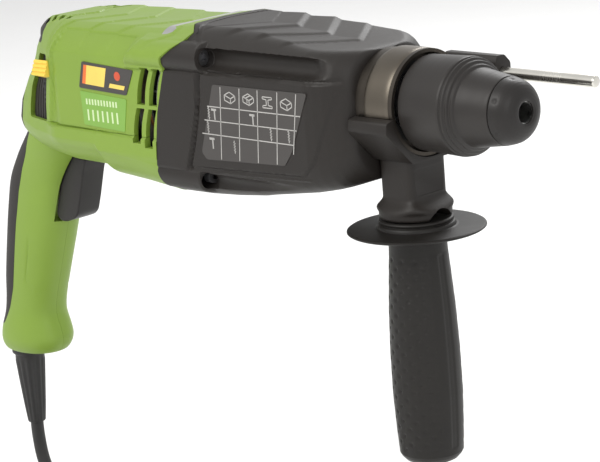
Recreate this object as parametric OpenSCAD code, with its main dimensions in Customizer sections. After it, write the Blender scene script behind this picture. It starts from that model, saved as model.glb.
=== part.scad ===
// Corded rotary hammer: hammer mechanism in front, motor behind it, rear handle and side handle.
// The tool axis is X, forwards. The origin is the mouth of the tool holder, where a bit goes in.

/* [Body] */
// Half width of the gear housing
gear_half_w = 39; // [38.5:0.5:40]
// Half width of the motor housing
motor_half_w = 40; // [40:0.5:41]
// Height of the top of both housings over the tool axis
body_top = 36; // [36:0.5:38]
// Depth of the underside below the tool axis
body_drop = 57; // [57:0.5:59]
// Length from the tool holder's mouth to the front of the gear housing
nose_len = 88; // [88:0.5:89]
// Length from the mouth to the joint of gear and motor housing
joint_len = 222; // [222:0.5:223]

/* [Chuck and neck] */
// Radius of the locking sleeve at its rear end
sleeve_r = 24; // [23.6:0.1:24]
// Radius of the round neck that carries the side handle
neck_r = 25.8; // [25.8:0.1:26]
// Radius of the tool holder's bore
holder_bore_r = 5.02; // [5.01:0.01:5.05]

/* [Drive] */
// Depth of the motor axis below the tool axis
motor_drop = 9; // [9:0.1:9]
// Depth of the idler shaft below the tool axis
idler_drop = 33; // [33:0.1:33]
// Teeth on the armature pinion
pinion_teeth = 12; // [12:1:12]
// Teeth on the idler gear
idler_teeth = 48; // [48:1:48]
// Teeth on the idler shaft's own pinion
shaft_teeth = 13; // [13:1:13]
// Teeth on the gear round the hammer tube
tube_teeth = 53; // [53:1:53]

/* [Handles] */
// Radius of the side handle's flange
flange_r = 35.8; // [34:0.2:37]
// Length of the depth rod
rod_len = 165; // [160:1:165]
// Radius of the depth rod
rod_r = 3; // [2.9:0.1:3]

/* [Cord] */
// Diameter of the mains cord
cord_d = 8; // [7.5:0.5:8]

/* [Hidden] */
$fn = 64;
x_front = -nose_len;
x_joint = -joint_len;
x_barrel = -311;
x_rear = -350;
zm = -motor_drop;
zi = -idler_drop;
wall = 3;
band_x = [-81, -64.5];
side_x = -76;
collar_bore = 24.8;
tube_r = 15;
tube_bore = 11.7;
pull = [-0.9135, 0, 0.4067];
screw_y = [35.5, 31];
screw_z = [20, -44];
lug_x = -182;
wobble_x = -182;
LEAD = [[-413, 0, -176], [-413, 0, -200], [-413, 0, -224], [-413, 0, -240], [-410, 0, -256],
    [-401, 0, -270], [-388, 0, -279], [-374, 0, -281.5]];
TAIL = [[-304, 0, -273.5], [-296, 0, -272.5], [-288, 0, -270], [-280, 0, -267.6], [-272, 0, -267]];
floor_z = -285.5;
coil_at = [-339, -67, floor_z];
coil_r = [27, 71.5];
coil_h = 16.4;
plug_at = [-272, 0, -267];
lever_rest = 20;
rod_at = [45, 7.2];

// Cylinder along X between two places, round an axis at height z and offset y
module xcyl(x0, x1, r, z = 0, y = 0) {
    translate([x0, y, z]) rotate([0, 90, 0]) cylinder(h = x1 - x0, r = r);
}

// Tube along X
module xtube(x0, x1, ro, ri, z = 0, y = 0) {
    difference() {
        xcyl(x0, x1, ro, z, y);
        xcyl(x0 - 1, x1 + 1, ri, z, y);
    }
}

// Turned shape about the X axis from a profile of [x, radius] points
module turned(profile, z = 0) {
    translate([0, 0, z]) rotate([0, 90, 0]) rotate([0, 0, 180])
        rotate_extrude() polygon([for (q = profile) [q[1], q[0]]]);
}

// Thin cross section of a housing: four rounded corners in a plane of constant x
module section(x, hw, top, bottom, r) {
    for (s = [-1, 1], h = [top - r, bottom + r])
        translate([x, s * (hw - r), h]) rotate([0, 90, 0]) cylinder(h = 0.1, r = r, $fn = 32);
}

// Solid between two cross sections
module run(a, b) {
    hull() {
        section(a[0], a[1], a[2], a[3], a[4]);
        section(b[0] - 0.1, b[1], b[2], b[3], b[4]);
    }
}

// Block along X with four rounded corners
module block(x0, x1, hw, top, bottom, r) {
    translate([x0, 0, 0]) rotate([90, 0, 90]) linear_extrude(x1 - x0) {
        translate([-hw, bottom + r]) square([2 * hw, top - bottom - 2 * r]);
        translate([r - hw, bottom]) square([2 * (hw - r), top - bottom]);
        for (s = [-1, 1], h = [top - r, bottom + r]) translate([s * (hw - r), h]) circle(r);
    }
}

// The four screw places, at the corners of the housing joint
module at_screws() {
    for (s = [-1, 1], i = [0, 1]) translate([0, s * screw_y[i], screw_z[i]]) children();
}

module gear_outer() {
    run([x_joint, gear_half_w, body_top + 0.5, -body_drop, 15],
        [-128, gear_half_w - 2, body_top - 0.5, -52, 16]);
    run([-128, gear_half_w - 2, body_top - 0.5, -52, 16], [-100, 32.5, 33, -46.5, 17]);
    run([-100, 32.5, 33, -46.5, 17], [x_front, 29.5, 29.5, -41, 20]);
    for (s = [-1, 1]) translate([0, s * screw_y[0], screw_z[0]]) xcyl(x_joint, lug_x, 8.2);
    for (s = [-1, 1]) translate([0, s * screw_y[1], screw_z[1]]) xcyl(x_joint, lug_x - 4, 8.5);
    // Raised side panels
    for (s = [-1, 1]) translate([-191, s * (gear_half_w - 0.6) - 1.6, -37])
        cube([86, 3.2, 48]);
}

module gear_housing() {
    color("#3c3936") difference() {
        gear_outer();
        run([x_joint - 1, gear_half_w - wall, body_top - wall, -body_drop + 2.4, 12],
            [-140, gear_half_w - wall, body_top - wall, -50, 12]);
        run([-140, gear_half_w - wall, body_top - wall, -50, 12], [-122, 33.5, 31, -47, 12]);
        xcyl(-123, -99, 22.4);
        xcyl(-101, x_front + 1, 24);
        xcyl(-123, -112, 9, zi);
        // Counterbores for the screw heads, and half-round channels that lead a driver to them
        for (s = [-1, 1], i = [0, 1]) translate([0, s * screw_y[i], screw_z[i]]) {
            xcyl(lug_x - 9 - 4 * i, lug_x + 1, 4.9);
            xcyl(x_joint - 1, lug_x - 8, 2.7);
        }
        for (s = [-1, 1]) translate([0, s * 36.8, 20]) xcyl(lug_x, x_front + 1, 4.9);
        for (s = [-1, 1]) translate([0, s * 36, -48.5]) xcyl(lug_x - 4, x_front + 1, 4.9);
        // Opening for the mode knob's shaft
        translate([-180, 30, -12]) rotate([-90, 0, 0]) cylinder(h = 14, r = 6.1);
    }
}

module front_collar() {
    color("#8b8880") difference() {
        union() {
            xcyl(-99, x_front, 24);
            xcyl(x_front, band_x[1] + 0.2, neck_r);
            xcyl(band_x[1] + 0.2, -62, neck_r + 0.9);
        }
        xcyl(-72, -61, collar_bore);
        xcyl(-80, -71, 20);
        xcyl(-84, -79, 16);
        xcyl(-101, -84, 21);
    }
}

// Webs that tie the two lower screw bosses to the motor barrel
module screw_webs(room) {
    for (s = [-1, 1]) translate([-244 - room, 0, zm]) rotate([-s * 48.5, 0, 0])
        translate([0, s * 39.5 - 3 - room, -3 - room]) cube([22 + room + 0.5 * room, 6 + 2 * room, 6 + 2 * room]);
}

module motor_housing() {
    color("#95bb45") difference() {
        union() {
            intersection() {
                run([x_barrel, motor_half_w, body_top, -body_drop, 16],
                    [x_joint, motor_half_w, body_top + 0.5, -body_drop, 16]);
                translate([x_barrel, -60, -26]) cube([x_joint - x_barrel, 120, 80]);
            }
            xcyl(x_barrel, x_joint, 38.6, zm);
            at_screws() xcyl(-244, x_joint, 6);
            screw_webs(0);
        }
        xcyl(x_barrel - 1, x_joint + 1, 36.1, zm);
        run([x_barrel - 1, 36.5, body_top - wall, -20, 13], [x_joint + 1, 36.5, body_top - wall, -20, 13]);
        at_screws() xcyl(-243, x_joint + 1, 2.2);
        // Side vents: two columns and two rows of leaning slots on each side
        for (s = [-1, 1], i = [0, 1, 2, 3], j = [0, 1])
            translate([-238 + i * 6, s * 40, j == 0 ? 3 : -19]) rotate([0, -8, 0])
                cube([3.2, 20, 17], center = true);
    }
}

// Cross section of the main grip: a thin ellipse square to Z
module grip_ring(x, z, a, b) {
    translate([x, 0, z]) scale([a / b, 1, 1]) cylinder(h = 0.1, r = b, $fn = 32);
}

// Main grip from neck to foot; grow thickens it and back moves it rearwards
module grip_body(grow = 0, back = 0) {
    g = grow;
    hull() {
        grip_ring(-331 - back, -46, 27 + g, 30 + g);
        grip_ring(-362 - back, -70, 27 + g, 20 + g);
    }
    hull() {
        grip_ring(-362 - back, -70, 27 + g, 20 + g);
        grip_ring(-386 - back, -104, 23.5 + g, 18.5 + g);
    }
    hull() {
        grip_ring(-386 - back, -104, 23.5 + g, 18.5 + g);
        grip_ring(-395 - back, -131, 21.3 + g, 17 + g);
    }
    hull() {
        grip_ring(-395 - back, -131, 21.3 + g, 17 + g);
        grip_ring(-401 - back, -155, 19.4 + g, 16.5 + g);
    }
    hull() {
        grip_ring(-401 - back, -155, 19.4 + g, 16.5 + g);
        grip_ring(-402 - back, -170, 25 + g, 18 + g);
        grip_ring(-404 - back, -180, 23.5 + g, 16.5 + g);
    }
}

module handle_outer() {
    run([x_rear, 24, body_top - 8, -48, 18], [-330, 37, body_top - 1, -56, 16]);
    run([-330, 37, body_top - 1, -56, 16], [x_barrel, motor_half_w, body_top, -body_drop, 16]);
    intersection() {
        run([x_barrel, motor_half_w, body_top, -body_drop, 16],
            [x_joint, motor_half_w, body_top, -body_drop, 16]);
        translate([x_barrel, -60, -70]) cube([x_joint - x_barrel, 120, 43.7]);
    }
    grip_body();
}

// Space inside both handle shells, made of plain blocks and barrels
module handle_hollow() {
    xcyl(-341, x_barrel + 1, 30, -8);
    xcyl(x_barrel - 1, x_joint + 1, 38.9, zm);
    translate([-340, -15, -60]) cube([40, 30, 40]);
    translate([-377, 0, -85.5]) rotate([0, 28, 0]) cube([22, 24, 38], center = true);
    translate([-392, 0, -126]) rotate([0, 16, 0]) cube([26, 24, 84], center = true);
    screw_webs(0.3);
    xcyl(-246, x_joint + 1, 6.3, screw_z[1], screw_y[1]);
    xcyl(-246, x_joint + 1, 6.3, screw_z[1], -screw_y[1]);
    xcyl(-326, x_barrel + 1, 35.5, zm);
    // Trigger window and its travel
    hull() for (t = [-0.5, 9]) translate(pull * t) trigger_shape(0.6);
    // Cord gland and rear vents
    translate([-413, 0, -190]) cylinder(h = 32, r = 4.2);
    for (i = [0:3]) translate([-338 + i * 6.4, 0, 31]) rotate([0, -30, 0]) cube([2.4, 52, 16], center = true);
    // Slot for the reverse lever
    translate([-325.5, -50, -29.5]) cube([14.5, 20, 41]);
}

// Handle screws come in from the left side; head_h is how far their heads reach, room is a gap round them
module handle_screw_shape(head_h = 2.6, room = 0) {
    for (q = [[-344.2, 12], [-345, -36], [-292, -52.3], [-240, -52.3], [-370.3, -112], [-384, -172]])
        translate([q[0], 0, q[1]]) rotate([-90, 0, 0]) {
            translate([0, 0, -9 - room]) cylinder(h = 19, r = 1.6 + room, $fn = 24);
            translate([0, 0, 9.6 - room]) cylinder(h = head_h, r = 3.1 + room, $fn = 24);
        }
}

module handle_shell(side) {
    color("#95bb45") difference() {
        intersection() {
            handle_outer();
            translate([-500, side > 0 ? 0.02 : -100, -200]) cube([400, 99.98, 300]);
        }
        handle_hollow();
        grip_pad_shape();
        rear_insert_shape();
        handle_screw_shape(40, 0.15);
    }
}

module handle_shell_right() { handle_shell(-1); }
module handle_shell_left() { handle_shell(1); }

// Rubber spine that wraps the back of the grip
module grip_pad_shape() {
    difference() {
        intersection() {
            grip_body(0.6, 1.2);
            union() {
                translate([-366, -40, -56]) rotate([0, 34, 0]) translate([-60, 0, -80]) cube([46, 80, 100]);
                translate([-412, -40, -172]) cube([14, 80, 92]);
            }
        }
        grip_body(-2.4, -2);
    }
}

module grip_pad() { color("#2f2d2b") grip_pad_shape(); }

module rear_insert_shape() {
    intersection() {
        translate([-352, -16, 6]) cube([12, 32, 20]);
        difference() {
            run([x_rear - 0.8, 24, body_top - 7, -48, 18], [-330, 37, body_top, -56, 16]);
            translate([-347.5, -50, -60]) cube([60, 100, 110]);
        }
    }
}

module rear_insert() { color("#2f2d2b") rear_insert_shape(); }

// Trigger outline, with room round it
module trigger_shape(room = 0) {
    rotate([90, 0, 0]) linear_extrude(17 + 2 * room, center = true) offset(delta = room)
        polygon([[-313, -56], [-317, -65], [-323, -78], [-330, -90], [-339, -95], [-352, -96],
            [-360, -92], [-361, -86], [-350, -62], [-344, -54], [-326, -53]]);
}

module trigger() { color("#2b2a29") trigger_shape(); }

// Spur gear blank outline with stub teeth at a 25 degree pressure angle
function inv_deg(a) = tan(a) * 180 / PI - a;
function tooth_half(r, n, m, slack) = 90 / n - slack / (n * m / 2) * 180 / PI
    + inv_deg(25) - inv_deg(acos(min(1, n * m / 2 * cos(25) / r)));
function tooth(n, m, slack) = [for (q = [-1.1, -0.4, 0.3, 0.8])
    [n * m / 2 + q * m, tooth_half(n * m / 2 + q * m, n, m, slack)]];
function gear_points(n, m, slack) = [for (i = [0:n - 1], s = [-1, 1], k = [0:3])
    let (q = tooth(n, m, slack)[s < 0 ? k : 3 - k], a = i * 360 / n + s * q[1])
    [q[0] * cos(a), q[0] * sin(a)]];

// Spur gear along X; turn 0 points a tooth straight down
module spur(x0, x1, n, m, z, bore = 0, turn = 0) {
    difference() {
        translate([x0, 0, z]) rotate([0, 90, 0]) rotate([0, 0, turn])
            linear_extrude(x1 - x0) polygon(gear_points(n, m, 0.1));
        if (bore > 0) xcyl(x0 - 1, x1 + 1, bore, z);
    }
}

// Round wire swept along a route of points, closed at both ends
function unit(v) = v / norm(v);
function route_dir(p, i) = unit(p[min(i + 1, len(p) - 1)] - p[max(i - 1, 0)]);
function ring_at(c, d, r, n) =
    let (side = abs(d[1]) < 0.9 ? [0, 1, 0] : [1, 0, 0], u = unit(cross(d, side)), v = cross(d, u))
    [for (k = [0:n - 1]) c + r * cos(k * 360 / n) * u + r * sin(k * 360 / n) * v];
module swept(p, r, n) {
    m = len(p);
    polyhedron(
        points = [for (i = [0:m - 1]) each ring_at(p[i], route_dir(p, i), r, n)],
        faces = concat(
            [for (i = [0:m - 2], k = [0:n - 1])
                let (k2 = (k + 1) % n) each [[i * n + k, i * n + k2, (i + 1) * n + k2],
                    [i * n + k, (i + 1) * n + k2, (i + 1) * n + k]]],
            [[for (k = [0:n - 1]) n - 1 - k], [for (k = [0:n - 1]) (m - 1) * n + k]]));
}

// Round coil spring along X
module coil_spring(x0, x1, r, wire, turns, z = 0) {
    steps = turns * 14;
    translate([0, 0, z]) swept([for (i = [0:steps])
        [x0 + (x1 - x0) * i / steps, r * cos(i * 360 / 14), r * sin(i * 360 / 14)]], wire, 6);
}

// Sealed ball bearing: both rings and a shield let in between them
module bearing(x0, w, ri, ro, z) {
    difference() {
        xtube(x0, x0 + w, ro, ri, z);
        xtube(x0 - 1, x0 + 0.5, ro - 1.5, ri + 1.5, z);
        xtube(x0 + w - 0.5, x0 + w + 1, ro - 1.5, ri + 1.5, z);
    }
}

module ball_bearings() {
    color("#b9bcc0") {
        bearing(-92, 7, tube_r + 0.03, 21, 0);
        bearing(-224, 6, 6.03, 12, zm);
        bearing(-325, 7, 4.03, 11, zm);
        bearing(-222, 6, 3.53, 9, zi);
        bearing(-119, 6, 3.53, 9, zi);
        // Needle bush at the rear end of the hammer tube
        xtube(-158, -151, 18, tube_r + 0.03);
    }
}

module bearing_flange() {
    color("#a9aaa8") difference() {
        union() {
            block(x_joint, -215, 35.9, 32.9, -53, 12.4);
            xcyl(-227, x_joint + 1, 36, zm);
        }
        xcyl(-228, -217.9, 12, zm);
        xcyl(-219, -214, 7, zm);
        xcyl(-222, -214, 9, zi);
        at_screws() xcyl(-228, -214, 3);
        // Windows that let the fan's air through
        for (s = [-1, 1]) translate([0, s * 23, 8]) xcyl(-228, -214, 6);
    }
}

module gear_bridge() {
    color("#a9aaa8") difference() {
        block(-158, -151, 35.4, 32.4, -22, 12.6);
        xcyl(-159, -150, 18);
        for (s = [-1, 1]) translate([0, s * 26, 6]) xcyl(-159, -150, 6);
    }
}

module rear_bearing_plate() {
    color("#55524e") difference() {
        union() {
            xcyl(-330, -326, 29.9, -8);
            xcyl(-327, -318, 14, zm);
        }
        xcyl(-325, -317, 11, zm);
    }
}

module housing_screws() {
    color("#7d7f82") for (i = [0, 1]) for (s = [-1, 1])
        translate([0, s * screw_y[i], screw_z[i]]) difference() {
            union() {
                xcyl(-242, lug_x - 8 - 4 * i, 2.2);
                xcyl(lug_x - 9 - 4 * i, lug_x - 4.5 - 4 * i, 4.3);
            }
            translate([lug_x - 7 - 4 * i, 0, 0]) rotate([0, 90, 0]) cylinder(h = 5, r = 2.3, $fn = 6);
        }
}

module handle_screws() { color("#7d7f82") handle_screw_shape(); }

module rating_plate() {
    color("#35322c") translate([-284, -motor_half_w - 0.35, -5]) cube([44, 0.34, 16.5]);
}

module name_plate() {
    color("#b7d166") translate([-285, -motor_half_w - 0.35, -24.5]) cube([36, 0.34, 18]);
}

module mode_label() {
    color("#4a4744") translate([-178, -gear_half_w - 1.36, -32]) cube([66, 0.34, 39]);
}

module stator_core() {
    color("#6b6c6e") difference() {
        xcyl(-288, -242, 36, zm);
        xcyl(-289, -241, 20.8, zm);
        for (s = [-1, 1]) intersection() {
            xtube(-289, -241, 30.5, 20, zm);
            translate([-290, s > 0 ? 15 : -40, zm - 40]) cube([50, 25, 80]);
        }
    }
}

module field_coils() {
    color("#a4532a") for (s = [-1, 1]) difference() {
        intersection() {
            xtube(-294, -237.5, 30.2, 22.2, zm);
            translate([-300, s > 0 ? 15.4 : -35.4, zm - 40]) cube([70, 20, 80]);
        }
        translate([-287.8, s > 0 ? 26 : -40, zm - 9]) cube([45.6, 14, 18]);
    }
}

module shaft_seal() { color("#26262a") xtube(-79.5, -73, 20, tube_r + 0.1); }

module switch_body() {
    color("#1f2124") translate([-378, 0, -84]) rotate([0, 24.5, 0])
        translate([-8, -10, -16]) cube([16, 20, 32]);
}

module cord_guard() {
    color("#1e1e1f") translate([-413, 0, 0]) rotate_extrude()
        polygon([[4.15, -180.3], [10.5, -180.3], [10.5, -185.5], [8.7, -186.5], [8.4, -196], [5.4, -230],
            [4.15, -230]]);
}

module armature_shaft() {
    color("#c4c6c8") {
        xcyl(-324.8, -316.5, 4, zm);
        xcyl(-317, -213, 6, zm);
        spur(-213.2, -200, pinion_teeth, 0.8, zm);
    }
}

module armature_core() {
    color("#8a4f2c") difference() {
        union() {
            xcyl(-288, -242, 20, zm);
            xcyl(-295, -237, 16.5, zm);
        }
        xcyl(-296, -236, 6, zm);
        for (i = [0:11]) translate([0, 0, zm]) rotate([i * 30, 0, 0]) translate([-289, 17.5, -1])
            cube([48, 4, 2]);
    }
}

module commutator() {
    color("#c98a4b") difference() {
        xtube(-313, -297, 12, 6, zm);
        for (i = [0:11]) translate([0, 0, zm]) rotate([i * 30 + 15, 0, 0]) translate([-314, 11.4, -0.3])
            cube([16, 2, 0.6]);
    }
}

module cooling_fan() {
    color("#2c2e31") difference() {
        union() {
            xcyl(-236, -234.4, 33, zm);
            xcyl(-236, -229, 9, zm);
            for (i = [0:14]) translate([0, 0, zm]) rotate([i * 24, 0, 0]) translate([-236, 16, -0.6])
                cube([7, 16, 1.2]);
        }
        xcyl(-237, -228, 6, zm);
    }
}

module idler_shaft() {
    color("#b4b7ba") {
        xcyl(-221.5, -213, 3.5, zi);
        xcyl(-214, -189, 6, zi);
        intersection() {
            translate([wobble_x, 0, zi]) sphere(r = 12.6);
            xcyl(wobble_x - 9, wobble_x + 9, 13, zi);
        }
        xcyl(-175, -121, 5, zi);
        xcyl(-122, -113.5, 3.5, zi);
        spur(-142, -129, shaft_teeth, 1, zi, 0, 180);
    }
}

module idler_gear() {
    color("#9b9ea2") spur(-211, -202, idler_teeth, 0.8, zi, 6, 180 / idler_teeth);
}

module wobble_ring() {
    color("#8f9296") translate([wobble_x, 0, 0]) {
        difference() {
            xcyl(-6, 6, 16.6, zi);
            translate([0, 0, zi]) sphere(r = 13);
        }
        translate([0, 0, zi + 15]) cylinder(h = -zi - 20, r = 3.4);
        rotate([90, 0, 0]) difference() {
            cylinder(h = 9.6, r = 6, center = true);
            cylinder(h = 12, r = 4.3, center = true);
        }
    }
}

module piston() {
    color("#c7c9cb") difference() {
        union() {
            xcyl(-168, -118, tube_bore - 0.1);
            for (s = [-1, 1]) translate([-190, s * 7 - 1.7, -7]) cube([24, 3.4, 14]);
        }
        xcyl(-158, -117, 8.6);
        translate([wobble_x, 0, 0]) rotate([90, 0, 0]) cylinder(h = 30, r = 3, center = true);
    }
}

module piston_pin() {
    color("#d5d7d9") translate([wobble_x, 0, 0]) rotate([90, 0, 0]) cylinder(h = 17, r = 3, center = true);
}

module striker() {
    color("#b8babd") turned([[-138, 0], [-138, 7.6], [-137, 8.52], [-133, 8.52], [-133, 7.8], [-130, 7.8],
        [-130, 8.52], [-112, 8.52], [-110, 6], [-105, 6], [-105, 0]]);
}

module impact_bolt() {
    color("#b8babd") turned([[-100, 0], [-100, 6], [-96, 6.2], [-94, 8.2], [-80, 8.2], [-77, 6],
        [-50, 6], [-49, 5], [-49, 0]]);
}

module hammer_tube() {
    color("#aeb1b5") difference() {
        turned([[-160, holder_bore_r], [-160, tube_r], [-52, tube_r], [-52, 11.6], [-8, 11.6], [-8, 8.5],
            [0, 8.5], [0, holder_bore_r]]);
        xcyl(-161, -104, tube_bore);
        xcyl(-105, -73, 8.4);
        xcyl(-74, -42, 6.2);
        translate([-25, 0, 0]) rotate([90, 0, 0]) cylinder(h = 30, r = 3.6, center = true);
    }
}

module tube_gear() { color("#9b9ea2") spur(-140, -130, tube_teeth, 1, 0, tube_r, 180 / tube_teeth); }

module clutch_spring() { color("#7f8488") coil_spring(-124, -109.5, 17.6, 1.3, 3); }

module clutch_ring() {
    color("#8f9296") {
        xtube(-129.8, -125.5, 21, tube_r);
        xtube(-108, -106, 19, tube_r);
    }
}

module lock_balls() {
    color("#d5d7d9") for (s = [-1, 1]) translate([-25, s * 8.7, 0]) sphere(r = 3.5);
}

module dust_cap() {
    color("#2b2a29") turned([[-9.1, 11.6], [-9.1, 16.6], [-5, 15.7], [-2, 14], [0, 11.8], [1.2, 9.4], [1.5, 7.6],
        [1.5, 5.3], [0, 5.3], [0, 8.5], [-8, 8.5], [-8, 11.6]]);
}

module locking_sleeve() {
    color("#35322f") turned([[-61.2, 21.8], [-61.2, 23.3], [-60.3, sleeve_r], [-33.6, sleeve_r + 0.7],
        [-33, 23.9], [-32.3, 24.3], [-31.5, 23.7], [-31, 22.6], [-30.2, 22.7], [-29.7, 21.9], [-29.2, 20.8],
        [-28.5, 20.7], [-27.8, 19.6], [-9.4, 16.8], [-9.4, 12.4], [-21.4, 12.4], [-21.4, 17.1], [-32, 17.1],
        [-36, 21.8]]);
}

module lock_ring() { color("#b4b7ba") xtube(-28.6, -21.5, 17, 12.4); }

module sleeve_spring() { color("#7f8488") coil_spring(-50.6, -30, 14.2, 0.8, 6); }

// Band along X between two radii and two angles, measured from straight down towards +Y
module arc_band(x0, x1, r0, r1, a0, a1) {
    translate([x0, 0, zm]) rotate([0, 90, 0]) rotate([0, 0, a0]) rotate_extrude(angle = a1 - a0)
        translate([r0, 0]) square([r1 - r0, x1 - x0]);
}

module brush_ring() {
    color("#2f4d7a") difference() {
        union() {
            xtube(-316.5, -312.5, 32.8, 16, zm);
            for (s = [-1, 1]) translate([-313, -5.5, zm + (s > 0 ? 13.5 : -29)]) cube([14, 11, 15.5]);
        }
        for (s = [-1, 1]) translate([-308.5, -3.6, zm + (s > 0 ? 12 : -28)]) cube([6.9, 7.2, 16]);
    }
}

module carbon_brushes() {
    color("#3a3a3c") for (s = [-1, 1]) translate([-308.4, -3.5, zm + (s > 0 ? 12.2 : -26.2)]) cube([6.7, 7, 14]);
}

module reverse_lever() {
    color("#f2cf55") translate([0, 0, zm]) rotate([-lever_rest, 0, 0]) {
        translate([-324.5, -45, -4.6]) cube([12.5, 9.5, 9.2]);
        translate([-316, -36, -3]) cube([3.4, 3.1, 6]);
    }
}

module lever_shutter() {
    color("#242322") {
        arc_band(-325, -311.8, 33.1, 34.2, -90 - lever_rest - 38, -90 - lever_rest - 8);
        arc_band(-325, -311.8, 33.1, 34.2, -90 - lever_rest + 8, -90 - lever_rest + 58);
        for (i = [0:9]) arc_band(-325, -311.8, 34.1, 35.2, -90 - lever_rest + 9 + 5 * i, -90 - lever_rest + 11.4 + 5 * i);
    }
}

module trigger_spring() {
    color("#7f8488") translate([-357.3, 0, -78]) rotate([0, 24, 0]) coil_spring(-7.6, -0.8, 3.6, 0.5, 3);
}

module mode_knob() {
    color("#2b2a29") translate([-180, 0, -12]) rotate([-90, 0, 0]) {
        translate([0, 0, 30]) cylinder(h = 10.2, r = 6);
        translate([0, 0, 40.2]) cylinder(h = 3.4, r = 16);
        translate([-4, -15, 43]) cube([8, 30, 8]);
        translate([0, 3.4, 26]) cylinder(h = 5, r = 2);
    }
}

module side_clamp() {
    color("#33302e") difference() {
        union() {
            translate([-87, 0, 0]) rotate([90, 0, 90]) linear_extrude(26)
                polygon([[-27.4, -4], [-31, -5.5], [-31, -10], [-14, -27], [14, -27], [31, -12], [40, -10],
                    [51, 0], [51, 12], [46.5, 16.5], [41, 16.5], [38.5, 12], [38.5, 2], [31, -4]]);
            translate([-62, 0, 0]) rotate([90, 0, 90]) linear_extrude(10)
                polygon([[39.5, 0], [43, -2], [48, -1], [51, 3], [51, 12], [46.5, 16.5], [41, 16.5], [39.5, 13]]);
            translate([-87, -13.5, -58]) cube([22, 27, 33]);
            translate([side_x, 0, -62]) cylinder(h = 5, r1 = 18.6, r2 = 17.6);
        }
        xcyl(-88, -60, neck_r + 1.3);
        xcyl(-90, -50, rod_r + 0.15, rod_at[1], rod_at[0]);
        translate([side_x, 0, -63]) cylinder(h = 40, r = 4.2);
        translate([side_x, 0, -33]) cylinder(h = 10, r = 7.6, $fn = 6);
        translate([-70, 52, rod_at[1]]) rotate([90, 0, 0]) cylinder(h = 7, r = 2.3);
    }
}

module clamp_band() {
    color("#77716a") intersection() {
        xtube(band_x[0], band_x[1] - 0.1, neck_r + 1.1, neck_r + 0.12);
        translate([-90, -40, -3.9]) cube([40, 80, 50]);
    }
}

module clamp_bolt() {
    color("#8f9296") translate([side_x, 0, 0]) {
        translate([0, 0, -104]) cylinder(h = 74, r = 4);
        translate([0, 0, -32.6]) cylinder(h = 5, r = 7.4, $fn = 6);
    }
}

module side_grip() {
    color("#2b2a29") translate([side_x, 0, 0]) difference() {
        rotate_extrude() polygon([[0, -193.8], [10, -193.5], [14.5, -191.5], [16.6, -187.5], [17.3, -176],
            [18.1, -155], [18, -132], [17.2, -110], [16, -92], [14.9, -80], [14.7, -70.5], [flange_r - 1, -69.2],
            [flange_r, -68.4], [flange_r - 0.3, -67.2], [19.2, -66.2], [19.2, -62.6], [0, -62.6]]);
        translate([0, 0, -106]) cylinder(h = 50, r = 4.35);
    }
}

module depth_rod() {
    color("#c9cbcc") turned_rod(rod_at[0], rod_at[1], 8 - rod_len, 8, rod_r);
}

// Straight rod along X with bevelled ends
module turned_rod(y, z, x0, x1, r) {
    translate([0, y, z]) rotate([0, 90, 0]) rotate([0, 0, 180]) rotate_extrude()
        polygon([[0, x0], [r - 0.6, x0], [r, x0 + 0.6], [r, x1 - 0.6], [r - 0.6, x1], [0, x1]]);
}

module rod_lock() {
    color("#2b2a29") translate([-70, 0, rod_at[1]]) rotate([-90, 0, 0]) {
        translate([0, 0, 48.3]) cylinder(h = 4, r = 2.2);
        translate([0, 0, 51.4]) cylinder(h = 6, r = 6.5);
    }
}

module cord_lead() { color("#1e1e1f") swept(LEAD, cord_d / 2, 10); }

module cord_tail() { color("#1e1e1f") swept(TAIL, cord_d / 2, 10); }

module cord_coil() {
    color("#1e1e1f") translate(coil_at) rotate_extrude()
        translate([coil_r[0], 0]) square([coil_r[1] - coil_r[0], coil_h]);
}

module cord_tie() {
    color("#2f2f31") translate(coil_at + [coil_r[0], 0, 0]) difference() {
        translate([-2.4, -6, 0]) cube([coil_r[1] - coil_r[0] + 4.2, 12, coil_h + 1.4]);
        translate([-1.2, -7, -1]) cube([coil_r[1] - coil_r[0] + 1.8, 14, coil_h + 1.2]);
    }
}

module plug() {
    color("#1e1e1f") translate(plug_at) rotate([0, 90, 0]) {
        rotate_extrude() polygon([[0, 0.4], [5, 0.4], [6, 12], [9, 22], [15, 30], [18, 34], [18, 44], [14, 46],
            [14, 48], [0, 48]]);
        for (s = [-1, 1]) translate([0, s * 9.5, 47]) cylinder(h = 19, r = 2.4);
    }
}

gear_housing();
front_collar();
motor_housing();
handle_shell_right();
handle_shell_left();
grip_pad();
rear_insert();
bearing_flange();
gear_bridge();
rear_bearing_plate();
housing_screws();
handle_screws();
rating_plate();
name_plate();
mode_label();
stator_core();
field_coils();
ball_bearings();
shaft_seal();
switch_body();
cord_guard();
armature_shaft();
armature_core();
commutator();
cooling_fan();
idler_shaft();
idler_gear();
wobble_ring();
piston();
piston_pin();
striker();
impact_bolt();
hammer_tube();
tube_gear();
clutch_spring();
clutch_ring();
lock_balls();
dust_cap();
locking_sleeve();
lock_ring();
sleeve_spring();
brush_ring();
reverse_lever();
lever_shutter();
carbon_brushes();
trigger();
trigger_spring();
mode_knob();
side_clamp();
clamp_band();
clamp_bolt();
side_grip();
depth_rod();
rod_lock();
cord_lead();
cord_coil();
cord_tail();
cord_tie();
plug();
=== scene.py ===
import bpy
import numpy as np
from mathutils import Matrix, Vector


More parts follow.
